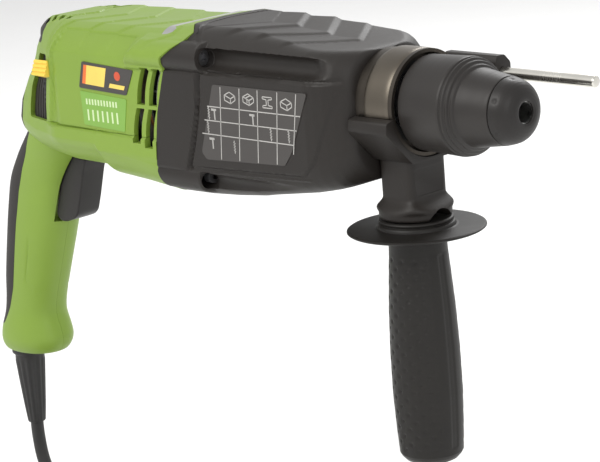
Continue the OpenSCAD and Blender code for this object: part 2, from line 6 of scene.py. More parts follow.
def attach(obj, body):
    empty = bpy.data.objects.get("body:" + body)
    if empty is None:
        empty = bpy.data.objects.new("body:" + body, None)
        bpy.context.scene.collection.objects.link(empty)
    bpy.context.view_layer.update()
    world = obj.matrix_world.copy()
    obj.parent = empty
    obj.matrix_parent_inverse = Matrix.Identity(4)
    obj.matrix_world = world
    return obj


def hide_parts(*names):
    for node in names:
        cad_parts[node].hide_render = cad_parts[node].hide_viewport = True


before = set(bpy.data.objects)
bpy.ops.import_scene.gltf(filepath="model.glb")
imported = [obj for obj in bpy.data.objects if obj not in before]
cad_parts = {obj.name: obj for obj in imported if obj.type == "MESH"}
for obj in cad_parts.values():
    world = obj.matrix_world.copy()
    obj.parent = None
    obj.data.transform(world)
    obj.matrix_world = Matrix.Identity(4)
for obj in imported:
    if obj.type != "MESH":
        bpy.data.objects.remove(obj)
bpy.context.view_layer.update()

# ---------------------------------------------------------------- the view
# A long lens looks slightly down on the right side of the tool, over a pale studio floor.
# Large soft lamps stand above, beside and behind it, in front of a bright even background.
MM = 0.001
floor_height = -285.5 * MM

lens = bpy.data.cameras.new("camera")
lens.lens, lens.sensor_width, lens.clip_end = 144, 36, 20
camera = bpy.data.objects.new("camera", lens)
bpy.context.scene.collection.objects.link(camera)
rightwards, upwards = (0.69633, 0.71345, -0.07819), (-0.11888, 0.22209, 0.96775)
backwards = (0.70781, -0.66458, 0.23946)
camera.matrix_world = (Matrix.Translation((0.7395, -0.8464, 0.2269))
                       @ Matrix((rightwards, upwards, backwards)).transposed().to_4x4())
bpy.context.scene.camera = camera
bpy.context.scene.view_settings.view_transform = "Standard"


def lamp(name, place, target, size, watts, tint=(1, 1, 1)):
    """Square area lamp of that size in metres, turned to face the target."""
    light = bpy.data.lights.new(name, "AREA")
    light.size, light.energy, light.color = size, watts, tint
    stand = bpy.data.objects.new(name, light)
    stand.matrix_world = (Matrix.Translation(place)
                          @ (Vector(place) - Vector(target)).to_track_quat("Z", "Y").to_matrix().to_4x4())
    bpy.context.scene.collection.objects.link(stand)


lamp("key_lamp", (-0.35, -1.5, 1.35), (-0.2, 0, -0.05), 1.1, 21, (1, 0.985, 0.96))
lamp("front_lamp", (1.5, -0.7, 0.75), (-0.1, 0, 0), 0.9, 5)
lamp("back_lamp", (-0.7, 1.5, 1.1), (-0.2, 0, 0), 1.0, 16)
sky = bpy.data.worlds.new("studio")
sky.use_nodes = True
sky.node_tree.nodes["Background"].inputs["Color"].default_value = (1, 1, 1, 1)
sky.node_tree.nodes["Background"].inputs["Strength"].default_value = 0.72
bpy.context.scene.world = sky

# ---------------------------------------------------------------- studio floor
# The tool stands over a wide sheet of matt white board. Its cord and plug lie on it. The board is the
# first thing that is made, so the ways of making a closed mesh and a material start here.


def skin(name, rows, loop=False):
    """Closed mesh over a grid of points in mm, shaped (rows, columns, 3). Columns join up all round.
    The rows join up too when loop is set; otherwise the first and last rows are filled with flat caps.
    Faces are turned to point outwards by the sign of the volume that they enclose."""
    m, n = rows.shape[:2]
    i = np.arange(m if loop else m - 1)[:, None]
    j = np.arange(n)[None, :]
    a, b = i * n + j, i * n + (j + 1) % n
    c, d = (i + 1) % m * n + (j + 1) % n, (i + 1) % m * n + j
    quads = np.stack([a, b, c, d], -1).reshape(-1, 4)
    flat = rows.reshape(-1, 3)
    p, q, r, s = (flat[quads[:, k]] for k in range(4))
    volume = np.sum(np.cross(p, q) * r) + np.sum(np.cross(p, r) * s)
    caps = []
    if not loop:
        caps = [np.arange(n)[::-1], (m - 1) * n + np.arange(n)]
        for cap in caps:
            fan = flat[cap]
            volume += np.sum(np.cross(fan[:1], fan[1:-1]) * fan[2:])
    faces = [list(f) for f in quads] + [list(f) for f in caps]
    if volume < 0:
        faces = [f[::-1] for f in faces]
    mesh = bpy.data.meshes.new(name)
    mesh.from_pydata(flat * MM, [], faces)
    piece = bpy.data.objects.new(name, mesh)
    bpy.context.scene.collection.objects.link(piece)
    finish_edges(piece)
    return piece


def finish_edges(piece, angle=32):
    """Smooth shading that stays crisp where two faces meet at more than that many degrees."""
    piece.data.shade_smooth()
    piece.data.set_sharp_from_angle(angle=np.radians(angle))


def eased(points, reach, closed=True, steps=5):
    """Outline with rounded corners: each becomes a quadratic curve that starts and ends reach away from it."""
    p = np.asarray(points, float)

    def towards(q):
        way = q - p
        length = np.maximum(np.linalg.norm(way, axis=1, keepdims=True), 1e-9)
        return p + way * np.minimum(np.reshape(reach, (-1, 1)) / length, 0.48)
    t = np.linspace(0, 1, steps)[None, :, None]
    curve = ((1 - t) ** 2 * towards(np.roll(p, 1, 0))[:, None] + 2 * t * (1 - t) * p[:, None]
             + t ** 2 * towards(np.roll(p, -1, 0))[:, None])
    if closed:
        return curve.reshape(-1, p.shape[1])
    return np.concatenate([p[:1], curve[1:-1].reshape(-1, p.shape[1]), p[-1:]])


def prism(name, outline, low, high, across="y", reach=0.0):
    """Straight bar with that outline, in the plane square to the axis, between two places along it."""
    line = eased(outline, reach) if np.any(reach) else np.asarray(outline, float)
    u, v = line[:, 0], line[:, 1]
    rows = []
    for place in (low, high):
        w = np.full(len(line), float(place))
        rows.append(np.stack({"x": (w, u, v), "y": (u, w, v), "z": (u, v, w)}[across], -1))
    return skin(name, np.array(rows))


def node(tree, kind, links=(), **settings):
    """Adds a shader node; links pairs its inputs with a value or with another node's output."""
    made = tree.nodes.new(kind)
    for key, value in settings.items():
        setattr(made, key, value)
    for socket, source in links:
        if isinstance(source, bpy.types.NodeSocket):
            tree.links.new(source, made.inputs[socket])
        else:
            made.inputs[socket].default_value = source
    return made


def effect(name, numbers, results):
    """Empty shader node group with float inputs of those names and defaults, and those results."""
    group = bpy.data.node_groups.new(name, "ShaderNodeTree")
    for key, value in numbers.items():
        kind = "NodeSocketColor" if isinstance(value, tuple) else "NodeSocketFloat"
        group.interface.new_socket(key, in_out="INPUT", socket_type=kind).default_value = value
    for key, kind in results.items():
        group.interface.new_socket(key, in_out="OUTPUT", socket_type="NodeSocket" + kind)
    return group, group.nodes.new("NodeGroupInput"), group.nodes.new("NodeGroupOutput")


def calc(tree, operation, *values, **settings):
    """Math node: the operation on the values, which are numbers or other nodes' outputs."""
    return node(tree, "ShaderNodeMath", enumerate(values), operation=operation, **settings).outputs[0]


def scaled(tree, colour, factor):
    """Colour times factor."""
    return node(tree, "ShaderNodeVectorMath", [(0, colour), ("Scale", factor)], operation="SCALE").outputs[0]


# Moulded finish: fine spark-eroded grain, a slow drift of colour as in real mouldings, and a
# faint film of dust on faces that look up. Colour, roughness and height all change over the surface.
moulded_finish, given, result = effect(
    "moulded_finish", {"Colour": (0.5, 0.5, 0.5, 1), "Grain": 1400.0, "Drift": 0.06, "Rough": 0.5, "Dust": 0.0},
    {"Colour": "Color", "Roughness": "Float", "Height": "Float"})
place = node(moulded_finish, "ShaderNodeTexCoord").outputs["Object"]
grain = node(moulded_finish, "ShaderNodeTexNoise", [("Vector", place), ("Scale", given.outputs["Grain"]),
                                                    ("Detail", 2.0), ("Roughness", 0.6)]).outputs["Fac"]
cloud = node(moulded_finish, "ShaderNodeTexNoise", [("Vector", place), ("Scale", 26.0),
                                                    ("Detail", 4.0), ("Roughness", 0.65)]).outputs["Fac"]
swing = calc(moulded_finish, "SUBTRACT", cloud, 0.5)
fine = calc(moulded_finish, "SUBTRACT", grain, 0.5)
both = calc(moulded_finish, "MULTIPLY_ADD", fine, 0.35, swing)
gain = calc(moulded_finish, "MULTIPLY_ADD", both, given.outputs["Drift"], 0.0)
lift = calc(moulded_finish, "MULTIPLY_ADD", gain, 2.0, 1.0)
shade = scaled(moulded_finish, given.outputs["Colour"], lift)
facing = node(moulded_finish, "ShaderNodeSeparateXYZ",
              [(0, node(moulded_finish, "ShaderNodeNewGeometry").outputs["Normal"])]).outputs["Z"]
film = calc(moulded_finish, "MULTIPLY", facing, given.outputs["Dust"], use_clamp=True)
dust_colour = (0.5, 0.48, 0.44, 1)
dusted = node(moulded_finish, "ShaderNodeMix", [(0, film), (6, shade), (7, dust_colour)], data_type="RGBA").outputs[2]
moulded_finish.links.new(dusted, result.inputs["Colour"])
rough = calc(moulded_finish, "MULTIPLY_ADD", swing, 0.22, given.outputs["Rough"])
moulded_finish.links.new(rough, result.inputs["Roughness"])
moulded_finish.links.new(grain, result.inputs["Height"])


def finish(name, group, numbers, bump=(0.3, 0.15), **constants):
    """Material: one Principled shader fed by an effect group, with a bump of (strength, depth in mm)
    and its other sockets set as constants."""
    material = bpy.data.materials.new(name)
    material.use_nodes = True
    tree = material.node_tree
    shader = tree.nodes["Principled BSDF"]
    box = node(tree, "ShaderNodeGroup", node_tree=group)
    for key, value in numbers.items():
        box.inputs[key].default_value = value
    tree.links.new(box.outputs["Colour"], shader.inputs["Base Color"])
    tree.links.new(box.outputs["Roughness"], shader.inputs["Roughness"])
    relief = node(tree, "ShaderNodeBump", [("Height", box.outputs["Height"]), ("Strength", bump[0]),
                                           ("Distance", bump[1] * MM)])
    tree.links.new(relief.outputs["Normal"], shader.inputs["Normal"])
    for key, value in constants.items():
        shader.inputs[key.replace("_", " ")].default_value = value
    return material


def moulding(name, colour, grain, drift, rough, dust=0.0, bump=(0.3, 0.15), **constants):
    """Moulded plastic or rubber: its colour, grain per metre, colour drift, roughness and film of dust."""
    return finish(name, moulded_finish, {"Colour": (*colour, 1), "Grain": grain, "Drift": drift, "Rough": rough,
                                         "Dust": dust}, bump=bump, **constants)


pale_floor = moulding("pale_floor", (0.96, 0.96, 0.955), 40.0, 0.01, 0.75)
sheet = np.array([[-4, -4], [4, -4], [4, 4], [-4, 4]]) * 1000.0
ground = prism("studio_floor", sheet, floor_height / MM - 20, floor_height / MM, across="z")
ground.data.materials.append(pale_floor)

# ---------------------------------------------------------------- mains cord
# About three metres of round rubber-sheathed flex leaves the foot of the grip through a fluted rubber
# sleeve, drops to the floor and is put away as a flat coil of nine turns, with a moulded mains plug.


def bake(piece):
    """Puts the result of the piece's modifiers into its mesh and takes the modifiers off."""
    shape = bpy.data.meshes.new_from_object(piece.evaluated_get(bpy.context.evaluated_depsgraph_get()))
    shape.materials.clear()
    piece.modifiers.clear()
    piece.data = shape
    finish_edges(piece)
    return piece


def turned(name, profile, centre, along="x", columns=96, reach=0.5, loop=False, shape=None):
    """Turned piece: a profile of (place along the axis, radius) carried once round the axis through centre.
    shape changes the radius as a function of place, angle and radius."""
    line = eased(profile, reach, closed=loop)
    place = line[:, :1] + np.zeros((1, columns))
    angle = np.zeros((len(line), 1)) + np.linspace(0, 2 * np.pi, columns, endpoint=False)
    radius = line[:, 1:] + 0 * angle
    if shape:
        radius = shape(place, angle, radius)
    u, v = radius * np.cos(angle), radius * np.sin(angle)
    grid = np.stack({"x": (place, u, v), "y": (u, place, v), "z": (u, v, place)}[along], -1)
    return skin(name, grid + np.asarray(centre, float), loop)


def carve(piece, tool, operation="DIFFERENCE"):
    """Cuts the piece by the tool, or joins or overlaps them, and bakes the result."""
    step = piece.modifiers.new("carve", "BOOLEAN")
    step.operation, step.object, step.solver = operation, tool, "MANIFOLD"
    bake(piece)
    bpy.data.objects.remove(tool)
    return piece


cord_radius = 4.0
lead = np.array([[-413, 0, -176], [-413, 0, -200], [-413, 0, -224], [-413, 0, -240], [-410, 0, -256],
                 [-401, 0, -270], [-388, 0, -279], [-374, 0, -281.5], [-356, 0, -281.5]], float)
tail = np.array([[-322, 0, -273.5], [-304, 0, -273.5], [-296, 0, -272.5], [-288, 0, -270],
                 [-280, 0, -267.6], [-272, 0, -267]], float)
coil_centre, coil_wide, coil_tight, turns = np.array([-339, -67.5]), 67.5, 31.0, 9.0


def through(points, each):
    """Smooth curve through points (Catmull-Rom), with that many steps between each two."""
    p = np.concatenate([2 * points[:1] - points[1:2], points, 2 * points[-1:] - points[-2:-1]])
    t = np.linspace(0, 1, each, endpoint=False)[None, :, None]
    a, b, c, d = (p[k:len(p) - 3 + k][:, None] for k in range(4))
    curve = 0.5 * (2 * b + (c - a) * t + (2 * a - 5 * b + 4 * c - d) * t ** 2 + (3 * b - a - 3 * c + d) * t ** 3)
    return np.concatenate([curve.reshape(-1, points.shape[1]), points[-1:]])


def blend(low, high, value):
    """0 below low, 1 above high, and a smooth S between them."""
    t = np.clip((value - low) / (high - low), 0, 1)
    return t * t * (3 - 2 * t)


wound = np.linspace(0, turns, int(turns * 26) + 1)
spread = np.interp(wound, [0, 4.4, 4.6, 9], [coil_wide, coil_tight, coil_tight, coil_wide])
around = np.pi / 2 - 2 * np.pi * wound
coil = np.stack([coil_centre[0] + spread * np.cos(around), coil_centre[1] + spread * np.sin(around),
                 -281.5 + 8.1 * blend(4.3, 4.7, wound)], -1)
route = np.concatenate([through(lead, 5), coil, through(tail, 5)])
line = bpy.data.curves.new("mains_cord", "CURVE")
line.dimensions, line.bevel_depth, line.bevel_resolution, line.use_fill_caps = "3D", cord_radius * MM, 4, True
spline = line.splines.new("POLY")
spline.points.add(len(route) - 1)
spline.points.foreach_set("co", np.concatenate([route * MM, np.ones((len(route), 1))], 1).ravel())
cord = bpy.data.objects.new("mains_cord", line)
bpy.context.scene.collection.objects.link(cord)
cord_rubber = moulding("cord_rubber", (0.024, 0.023, 0.023), 900.0, 0.5, 0.58, dust=0.03)
cord.data.materials.append(cord_rubber)

# Fourteen flutes round the sleeve: a cosine of the angle that fades at both ends
flutes = lambda place, angle, radius: radius * (1 + 0.045 * np.cos(14 * angle) * blend(-187, -191, place)
                                                * blend(-231, -226, place))
guard = turned("cord_sleeve", [[-180.3, 4.15], [-180.3, 10.5], [-184.6, 10.5], [-186, 8.9], [-190, 8.7],
                               [-204, 7.6], [-218, 6.4], [-230, 5.4], [-230, 4.15]],
               (-413, 0, 0), "z", 112, 0.7, loop=True, shape=flutes)
guard.data.materials.append(cord_rubber)
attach(guard, "housing"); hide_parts("cord_guard")

# Rings round the plug's neck: a cosine of the place that fades at both ends
plug_rings = lambda place, angle, radius: radius - (0.35 * np.cos(place * 2.1) * blend(-268, -266, place)
                                                    * blend(-254, -256, place))
plug = turned("mains_plug", [[-271.6, 5], [-262, 5.8], [-252, 8.6], [-243, 13.8], [-238.5, 17.6], [-229, 17.8],
                             [-227.6, 14.4], [-224.2, 14]], (0, 0, -267), "x", 72, 1.6, shape=plug_rings)
for side in (-1, 1):
    carve(plug, turned("pin", [[-226, 2.4], [-207.4, 2.4], [-206.2, 1.2]], (0, side * 9.5, -267), "x", 24, 0.6),
          "UNION")
plug.data.materials.append(cord_rubber)
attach(plug, "housing"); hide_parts("plug")

# Hook-and-loop tie: a woven band that goes once round all the turns
weave, given, result = effect("woven_band", {"Colour": (0.03, 0.03, 0.032, 1), "Threads": 900.0},
                              {"Colour": "Color", "Roughness": "Float", "Height": "Float"})
place = node(weave, "ShaderNodeTexCoord").outputs["Object"]
warp = node(weave, "ShaderNodeTexWave", [("Vector", place), ("Scale", given.outputs["Threads"])],
            bands_direction="X").outputs["Fac"]
weft = node(weave, "ShaderNodeTexWave", [("Vector", place), ("Scale", given.outputs["Threads"])],
            bands_direction="Y").outputs["Fac"]
cross = calc(weave, "MULTIPLY", warp, weft)
tone = calc(weave, "MULTIPLY_ADD", cross, 1.4, 0.6)
weave.links.new(scaled(weave, given.outputs["Colour"], tone), result.inputs["Colour"])
weave.links.new(calc(weave, "MULTIPLY_ADD", cross, -0.2, 0.95), result.inputs["Roughness"])
weave.links.new(cross, result.inputs["Height"])
tie_outer = eased([[-314.6, -285.4], [-265.9, -285.4], [-265.9, -267.8], [-314.6, -267.8]], 3)
tie_inner = eased([[-313.4, -284.4], [-267.1, -284.4], [-267.1, -269.0], [-313.4, -269.0]], 2.4)
tie_rows = [np.stack([o[:, 0], np.full(len(o), y), o[:, 1]], -1) for o, y in
            ((tie_outer, -73), (tie_outer, -61), (tie_inner, -61), (tie_inner, -73))]
tie = skin("cord_band", np.array(tie_rows), loop=True)
tie.data.materials.append(finish("tie_weave", weave, {}, bump=(0.6, 0.3)))
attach(tie, "housing"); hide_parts("cord_tie")

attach(cord, "housing"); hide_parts("cord_lead", "cord_coil", "cord_tail")

# ---------------------------------------------------------------- motor housing and rear handle
# Glass-filled nylon mouldings in lime green: a one-piece motor case above the seam, and two handle
# halves screwed together along the middle plane. The case has a stepped side panel, louvred vents and
# flats on its top; the grip swells at its foot. All of them come from one shell and are cut at the seams.
seam_z, screw_z = -26.0, 20.0
case_cuts = np.array([0, 0.14, 0.33, 0.70, 0.88, 1])


def half_outline(s, half_width, top, bottom, top_round, low_round, flatness):
    """Half a housing section, from the middle of the top (s = 0) down the +Y side to the middle of the
    underside (s = 1): flat, corner, side, corner, flat. flatness turns the quarter circles into chamfers."""
    t = [np.clip((s - a) / (b - a), 0, 1) for a, b in zip(case_cuts[:-1], case_cuts[1:])]
    go = lambda v: (1 - flatness) * np.sin(v * np.pi / 2) + flatness * v
    drop = lambda v: (1 - flatness) * (1 - np.cos(v * np.pi / 2)) + flatness * v
    y = (half_width - top_round) * t[0] + top_round * go(t[1]) - low_round * drop(t[3]) \
        - (half_width - low_round) * t[4]
    z = top - top_round * drop(t[1]) - (top - top_round - bottom - low_round) * t[2] - low_round * go(t[3])
    return y, z


def shell_grid(stations, x, columns):
    """Rows of housing sections at each x, from a table of x, half width, top, bottom, two corner radii and
    flatness. Gives x, |y|, z, the side sign and s as equal arrays."""
    table = np.asarray(stations, float)
    order = np.argsort(table[:, 0], kind="stable")
    sizes = [np.interp(x, table[order, 0], table[order, k])[:, None] for k in range(1, 7)]
    return section_rows(x, sizes, columns)


def section_rows(x, sizes, columns):
    """The same from sizes already worked out for each row."""
    s = np.linspace(0, 1, columns // 2 + 1)
    s = np.concatenate([s, s[-2:0:-1]])[None, :]
    side = np.concatenate([np.ones(columns // 2 + 1), -np.ones(columns // 2 - 1)])[None, :]
    y, z = half_outline(s, *sizes)
    grow = np.zeros_like(y)
    return x[:, None] + grow, y, z, side + grow, s + grow


def joint_sweep(s):
    """How far forward of the joint plane the edge between green and black mouldings runs at each s."""
    return np.interp(s, [0, 0.12, 0.2, 0.26, 0.33, 0.36, 0.42, 0.52, 0.62, 0.72, 0.8, 1],
                     [14, 17, 25, 22, 11, 9.5, 6, 0.5, -2.5, -4, -1, 0])


def twin(piece, name):
    """Second object with its own copy of the mesh."""
    other = bpy.data.objects.new(name, piece.data.copy())
    bpy.context.scene.collection.objects.link(other)
    return other


def inside(x, z, corners, soft):
    """1 inside a convex outline given anticlockwise in x and z, 0 outside, with a soft edge in mm."""
    c = np.asarray(corners, float)
    depth = np.full(np.broadcast(x, z).shape, 1e9)
    for a, b in zip(c, np.roll(c, -1, 0)):
        way = (b - a) / np.linalg.norm(b - a)
        depth = np.minimum(depth, way[0] * (z - a[1]) - way[1] * (x - a[0]))
    return blend(-soft / 2, soft / 2, depth)


def near(x, z, path, width):
    """1 on a path in x and z and falling to 0 at that distance from it."""
    p = np.asarray(path, float)
    best = np.full(np.broadcast(x, z).shape, 1e9)
    for a, b in zip(p[:-1], p[1:]):
        way = b - a
        t = np.clip(((x - a[0]) * way[0] + (z - a[1]) * way[1]) / (way @ way), 0, 1)
        best = np.minimum(best, np.hypot(x - a[0] - t * way[0], z - a[1] - t * way[1]))
    return 1 - blend(0, width, best)


# Case and lower body: x, half width, top, bottom, upper and lower corner radius, flatness
body_stations = [
    (-350.6, 9, 22, -30, 8, 8, 0.2), (-350.2, 14, 25, -36, 12, 12, 0.2), (-348.5, 20, 27.5, -40, 14, 14, 0.25),
    (-345, 25.5, 29.4, -43, 15, 15, 0.3), (-336, 30.5, 30.8, -46, 15, 16, 0.35), (-328, 34, 31.2, -48, 15, 16, 0.4),
    (-314, 39.4, 31.4, -48.8, 15, 16, 0.45), (-310.5, 40.2, 31.4, -48.8, 15, 16, 0.45),
    (-277, 40.3, 31.4, -49.2, 15, 16, 0.45), (-274, 40.4, 31.4, -53, 15, 16, 0.45),
    (-250, 40.4, 31.2, -55, 15, 17, 0.45), (-240, 40.4, 31.4, -56, 15, 17, 0.45), (-222, 40.2, 34.8, -57, 15, 16, 0.35)]
body_x = np.concatenate([[-350.6, -350.5, -350.2, -349.6, -348.8], np.arange(-348, -222, 0.95), [-222.0]])
x, y, z, side, s = shell_grid(body_stations, body_x, 440)
# Boss over the upper screw, raised rim over the sunk side panel, band under the seam
boss = 35.5 + np.sqrt(np.clip(8.0 ** 2 - (z - screw_z) ** 2, 0, None))
boss_run = inside(x, z, [(-247.5, 11.6), (-200, 11.6), (-200, 28.6), (-243.5, 28.6)], 2.2)
upright = blend(20, 30, y)
y = np.where(z > 11, y + upright * boss_run * np.clip(boss - y, 0, 6), y)
sunk = inside(x, z, [(-315.5, -26.5), (-247.6, -26.5), (-247.6, 12.5), (-244, 27.2), (-303, 28.3), (-309, 12)], 1.8)
behind = inside(x, z, [(-258, -26.5), (-212, -26.5), (-212, 11.5), (-258, 11.5)], 1.8)
y = y + upright * (1.6 * blend(33, 27, z) * blend(-27.5, -25.5, z) * blend(-312, -306, x)
                   - 1.9 * np.maximum(sunk, behind))
y = y + upright * 0.9 * blend(-25.6, -26.6, z) * blend(-40, -36, z) * blend(-320, -312, x)
# Fine grooves at the seam, and shallow slanted flats on the top
y = y - 0.9 * upright * near(x, z, [(-318, -25.6), (-222, -26.6)], 0.9)
ramp = ((x + 0.55 * y) / 24) % 1.0
z = z + blend(0.36, 0.30, s) * blend(-222, -236, x) * blend(-330, -318, x) * (0.75 * ramp - 0.5)
# The rear leans back towards the grip, and the front edge follows the swept joint
lean = np.interp(z, [-57, -39, -18, -4, 0, 9, 16, 20, 24, 37], [22, 20, 14, 5, 1.5, -3.5, -6.5, -7, -4, -3])
x = x - lean * blend(-306, -349, x) + joint_sweep(s) * blend(-262, -222, x)
outer = np.stack([x, y * side, z], -1)
lining_x = np.array([-222, -260, -300, -330, -341.0])
lx, ly, lz, lside, ls = shell_grid([(-341, 20, 22, -34, 12, 12, 0), (-330, 28, 28, -44, 14, 14, 0),
                                    (-310, 36.4, 29, -46, 13, 13, 0), (-222, 37.2, 29, -46, 13, 13, 0)], lining_x, 440)
lx = lx + joint_sweep(ls) * blend(-262, -222, lx)
shell = skin("shell", np.concatenate([outer, np.stack([lx, ly * lside, lz], -1)]))

# Grip: thin ellipses square to Z, with the swell and the ridge at the foot
grip_rings = np.array([(-24, -338, 24, 22, 2), (-34, -345, 26, 24, 2), (-46, -355, 26.5, 23, 2.1),
                       (-56, -364.5, 25.5, 21, 2.2), (-70, -374.5, 24.8, 19.4, 2.3), (-86, -380.8, 24.2, 18.6, 2.3),
                       (-104, -386.5, 23.2, 18.2, 2.3), (-131, -395, 21.3, 17, 2.3), (-146, -399, 19.6, 16.4, 2.3),
                       (-156, -401.2, 20, 16.5, 2.25), (-165, -402, 23.4, 17.8, 2.2), (-170, -402.2, 24.8, 18.3, 2.2),
                       (-173.5, -402.6, 24.9, 18.2, 2.2), (-177, -403.3, 24, 17.2, 2.2), (-180, -404, 21.8, 15.2, 2.2),
                       (-180.6, -404.1, 18, 12, 2.2)])


table = through(grip_rings, 9)
gz, gx, ga, gb, power = (table[:, k][:, None] for k in range(5))
turn = np.linspace(0, 2 * np.pi, 200, endpoint=False)[None, :]


def squarer(wave, power):
    """Sine or cosine of a turn raised to 2 / power with its sign kept: 2 is an ellipse, more is squarer."""
    return np.sign(wave) * np.abs(wave) ** (2 / power)


px, py, pz = gx + ga * squarer(np.cos(turn), power), gb * squarer(np.sin(turn), power), gz + 0 * turn
pad_line = np.array([(-349, 3.5), (-355, -12.8), (-358.5, -30), (-362, -40), (-366, -50.6), (-373.6, -62),
                     (-380.6, -76), (-387.5, -96.2), (-392.6, -113.4), (-400, -139), (-406, -152), (-414, -163),
                     (-430, -169)])
soft_panel = [(-333, -99), (-379.4, -106.7), (-388, -134), (-385, -139), (-378, -142.2), (-369, -144.2),
              (-360, -144.6), (-350.7, -139.9), (-346, -134)]
crease = 0.55 * near(px, pz, soft_panel, 0.9) * blend(6, 9, np.abs(py))
py = py - np.sign(py) * crease
grip = skin("grip", np.stack([px, py, pz], -1))
carve(shell, grip, "UNION")

# Trigger window, pockets for the reversing lever, rear and side vents, cord gland
window = eased([(-316, -50), (-328, -62), (-336, -82), (-341, -94), (-356, -97), (-367.5, -93), (-367, -87),
                (-358.5, -67), (-352, -50), (-336, -46)], 3)
carve(shell, prism("window", window, -9.3, 9.3))
lever_slot = eased([(-329, 12.4), (-341, -8), (-344, -25.5), (-321.5, -25.5), (-320.4, -14), (-316.6, 2),
                    (-315.2, 13.4)], 2)
track = twin(shell, "lever_track")
carve(track, prism("track_part", lever_slot, -60, -20), "INTERSECT")
for k in range(5):
    groove = np.array([(0, 14), (-11, -8), (-13, -26), (-12.2, -26), (-10.2, -8), (0.8, 14)]) + [-326 + 3.2 * k, 0]
    carve(track, prism("track_groove", groove, -60, -31))
track.data.transform(Matrix.Translation((1.4 * MM, 2.2 * MM, 0)))
carve(shell, prism("lever_slot", lever_slot, -60, -20))
for hole_x, hole_z in ((-344.2, 12), (-345, -36), (-292, -52.3), (-240, -52.3), (-376, -112), (-392, -172)):
    carve(shell, turned("screw_room", [[12.6, 4.2], [60, 4.2]], (hole_x, 0, hole_z), "y", 32, 0.1))
for k in range(4):
    slot = np.array([(-1.3, -5.6), (1.3, -5.6), (1.3, 5.6), (-1.3, 5.6)])
    lean_angle = np.radians(38)
    turned_slot = slot @ np.array([[np.cos(lean_angle), -np.sin(lean_angle)],
                                   [np.sin(lean_angle), np.cos(lean_angle)]])
    for sign in (-1, 1):
        centre = np.array([-333.5 + 6.2 * k, sign * 19.5])
        spot = eased((turned_slot * [1, sign])[::sign] + centre, 1)
        carve(shell, prism("top_vent", spot, 26, 44, across="z"))
for sign in (-1, 1):
    for top_x, low_x, high_z, low_z in ((-231.5, -238.2, 12.6, -8.2), (-221.9, -228.6, 12.6, -8.2),
                                        (-238.9, -243.4, -10.2, -29.5), (-229.3, -233.8, -10.2, -31.5)):
        steps = np.linspace(0, 1, 9)
        bow = 1.2 * np.sin(np.pi * steps)
        left = np.stack([top_x + (low_x - top_x) * steps - bow, high_z + (low_z - high_z) * steps], -1)
        opening = np.concatenate([left, left[::-1] + [6.4, 0]])
        carve(shell, prism("side_vent", opening, *sorted((sign * 34, sign * 60))))
carve(shell, turned("gland", [[-230, 10.8], [-184, 10.8], [-180, 4.3], [-150, 4.3]], (-413, 0, 0), "z", 64, 0.1))

lime = moulding("lime_nylon", (0.215, 0.335, 0.042), 1500.0, 0.07, 0.44, dust=0.02, bump=(0.28, 0.12),
                Specular_IOR_Level=0.4)
overmould = moulding("soft_overmould", (0.022, 0.019, 0.017), 1100.0, 0.3, 0.58, dust=0.02, bump=(0.5, 0.2),
                     Specular_IOR_Level=0.35)
spine = np.concatenate([pad_line, [(-440, -169), (-440, 3.5)]])
pad = twin(shell, "grip_spine")
carve(pad, prism("spine", eased(spine, 1.5), -60, 60), "INTERSECT")
pad.data.materials.append(overmould)
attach(pad, "housing"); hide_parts("grip_pad")
track.data.materials.append(overmould)
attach(track, "housing")
carve(shell, prism("spine_room", eased(spine + [0.16, 0], 1.5), -60, 60))

patch = [(-358, 29.4), (-331.5, 28.4), (-328.6, 26.5), (-327.4, 19), (-330, 17.6), (-341, 17.2), (-358, 15.8)]
insert = twin(shell, "rear_stop")
carve(insert, prism("patch", eased(patch, 1.2), -60, 60), "INTERSECT")
insert.data.materials.append(overmould)
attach(insert, "housing"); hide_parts("rear_insert")
carve(shell, prism("patch_room", eased(np.array(patch) + [0.15, 0], 1.2), -60, 60))

motor_part = [(-311, seam_z + 0.12), (-150, seam_z + 0.12), (-150, 60), (-311, 60)]
motor_case = twin(shell, "motor_case")
carve(motor_case, prism("motor_part", motor_part, -80, 80), "INTERSECT")
motor_case.data.materials.append(lime)
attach(motor_case, "housing"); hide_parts("motor_housing")
carve(shell, prism("motor_room", np.array(motor_part) + [-0.16, -0.24], -80, 80))
for name, low, high, stands_for in (("handle_half_right", -80, -0.05, "handle_shell_right"),
                                    ("handle_half_left", 0.05, 80, "handle_shell_left")):
    half = twin(shell, name)
    carve(half, prism("half", [(-460, -200), (-180, -200), (-180, 60), (-460, 60)], low, high), "INTERSECT")
    half.data.materials.append(lime)
    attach(half, "housing"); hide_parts(stands_for)
bpy.data.objects.remove(shell)

# ---------------------------------------------------------------- gear housing
# Charcoal nylon moulding over the hammer mechanism. Screw lugs stand out at its rear corners, with long
# half-round channels in front of them for the driver, a sunk groove and a raised panel on each side.
gear_stations = [
    (-222, 39.6, 34.8, -57, 15, 16, 0.35), (-200, 39.4, 34.8, -56.6, 15, 16, 0.3), (-178, 39, 34.2, -55, 15, 15, 0.25),
    (-158, 39, 33.3, -53, 15, 15, 0.22), (-150, 39, 32.8, -51.6, 14, 15, 0.2), (-134, 39.1, 30.6, -49.2, 12, 15, 0.15),
    (-118, 39.2, 28.8, -46.8, 10, 15, 0.1), (-110, 39, 28.2, -45.2, 10, 16, 0), (-104, 37.8, 27.8, -44, 11, 16, 0),
    (-99, 36, 27.5, -42.8, 13, 17, 0), (-95, 33.8, 27.2, -41.6, 15, 18, 0), (-91.5, 31.2, 26.9, -40.4, 17, 19, 0),
    (-89.2, 29, 26.5, -39.6, 18, 20, 0), (-88, 27.2, 26, -38.6, 20, 20, 0)]
gear_x = np.concatenate([np.arange(-222, -187, 0.9), np.arange(-187, -180, 0.35), np.arange(-180, -100, 0.9),
                         np.arange(-100, -88, 0.6), [-88.0]])
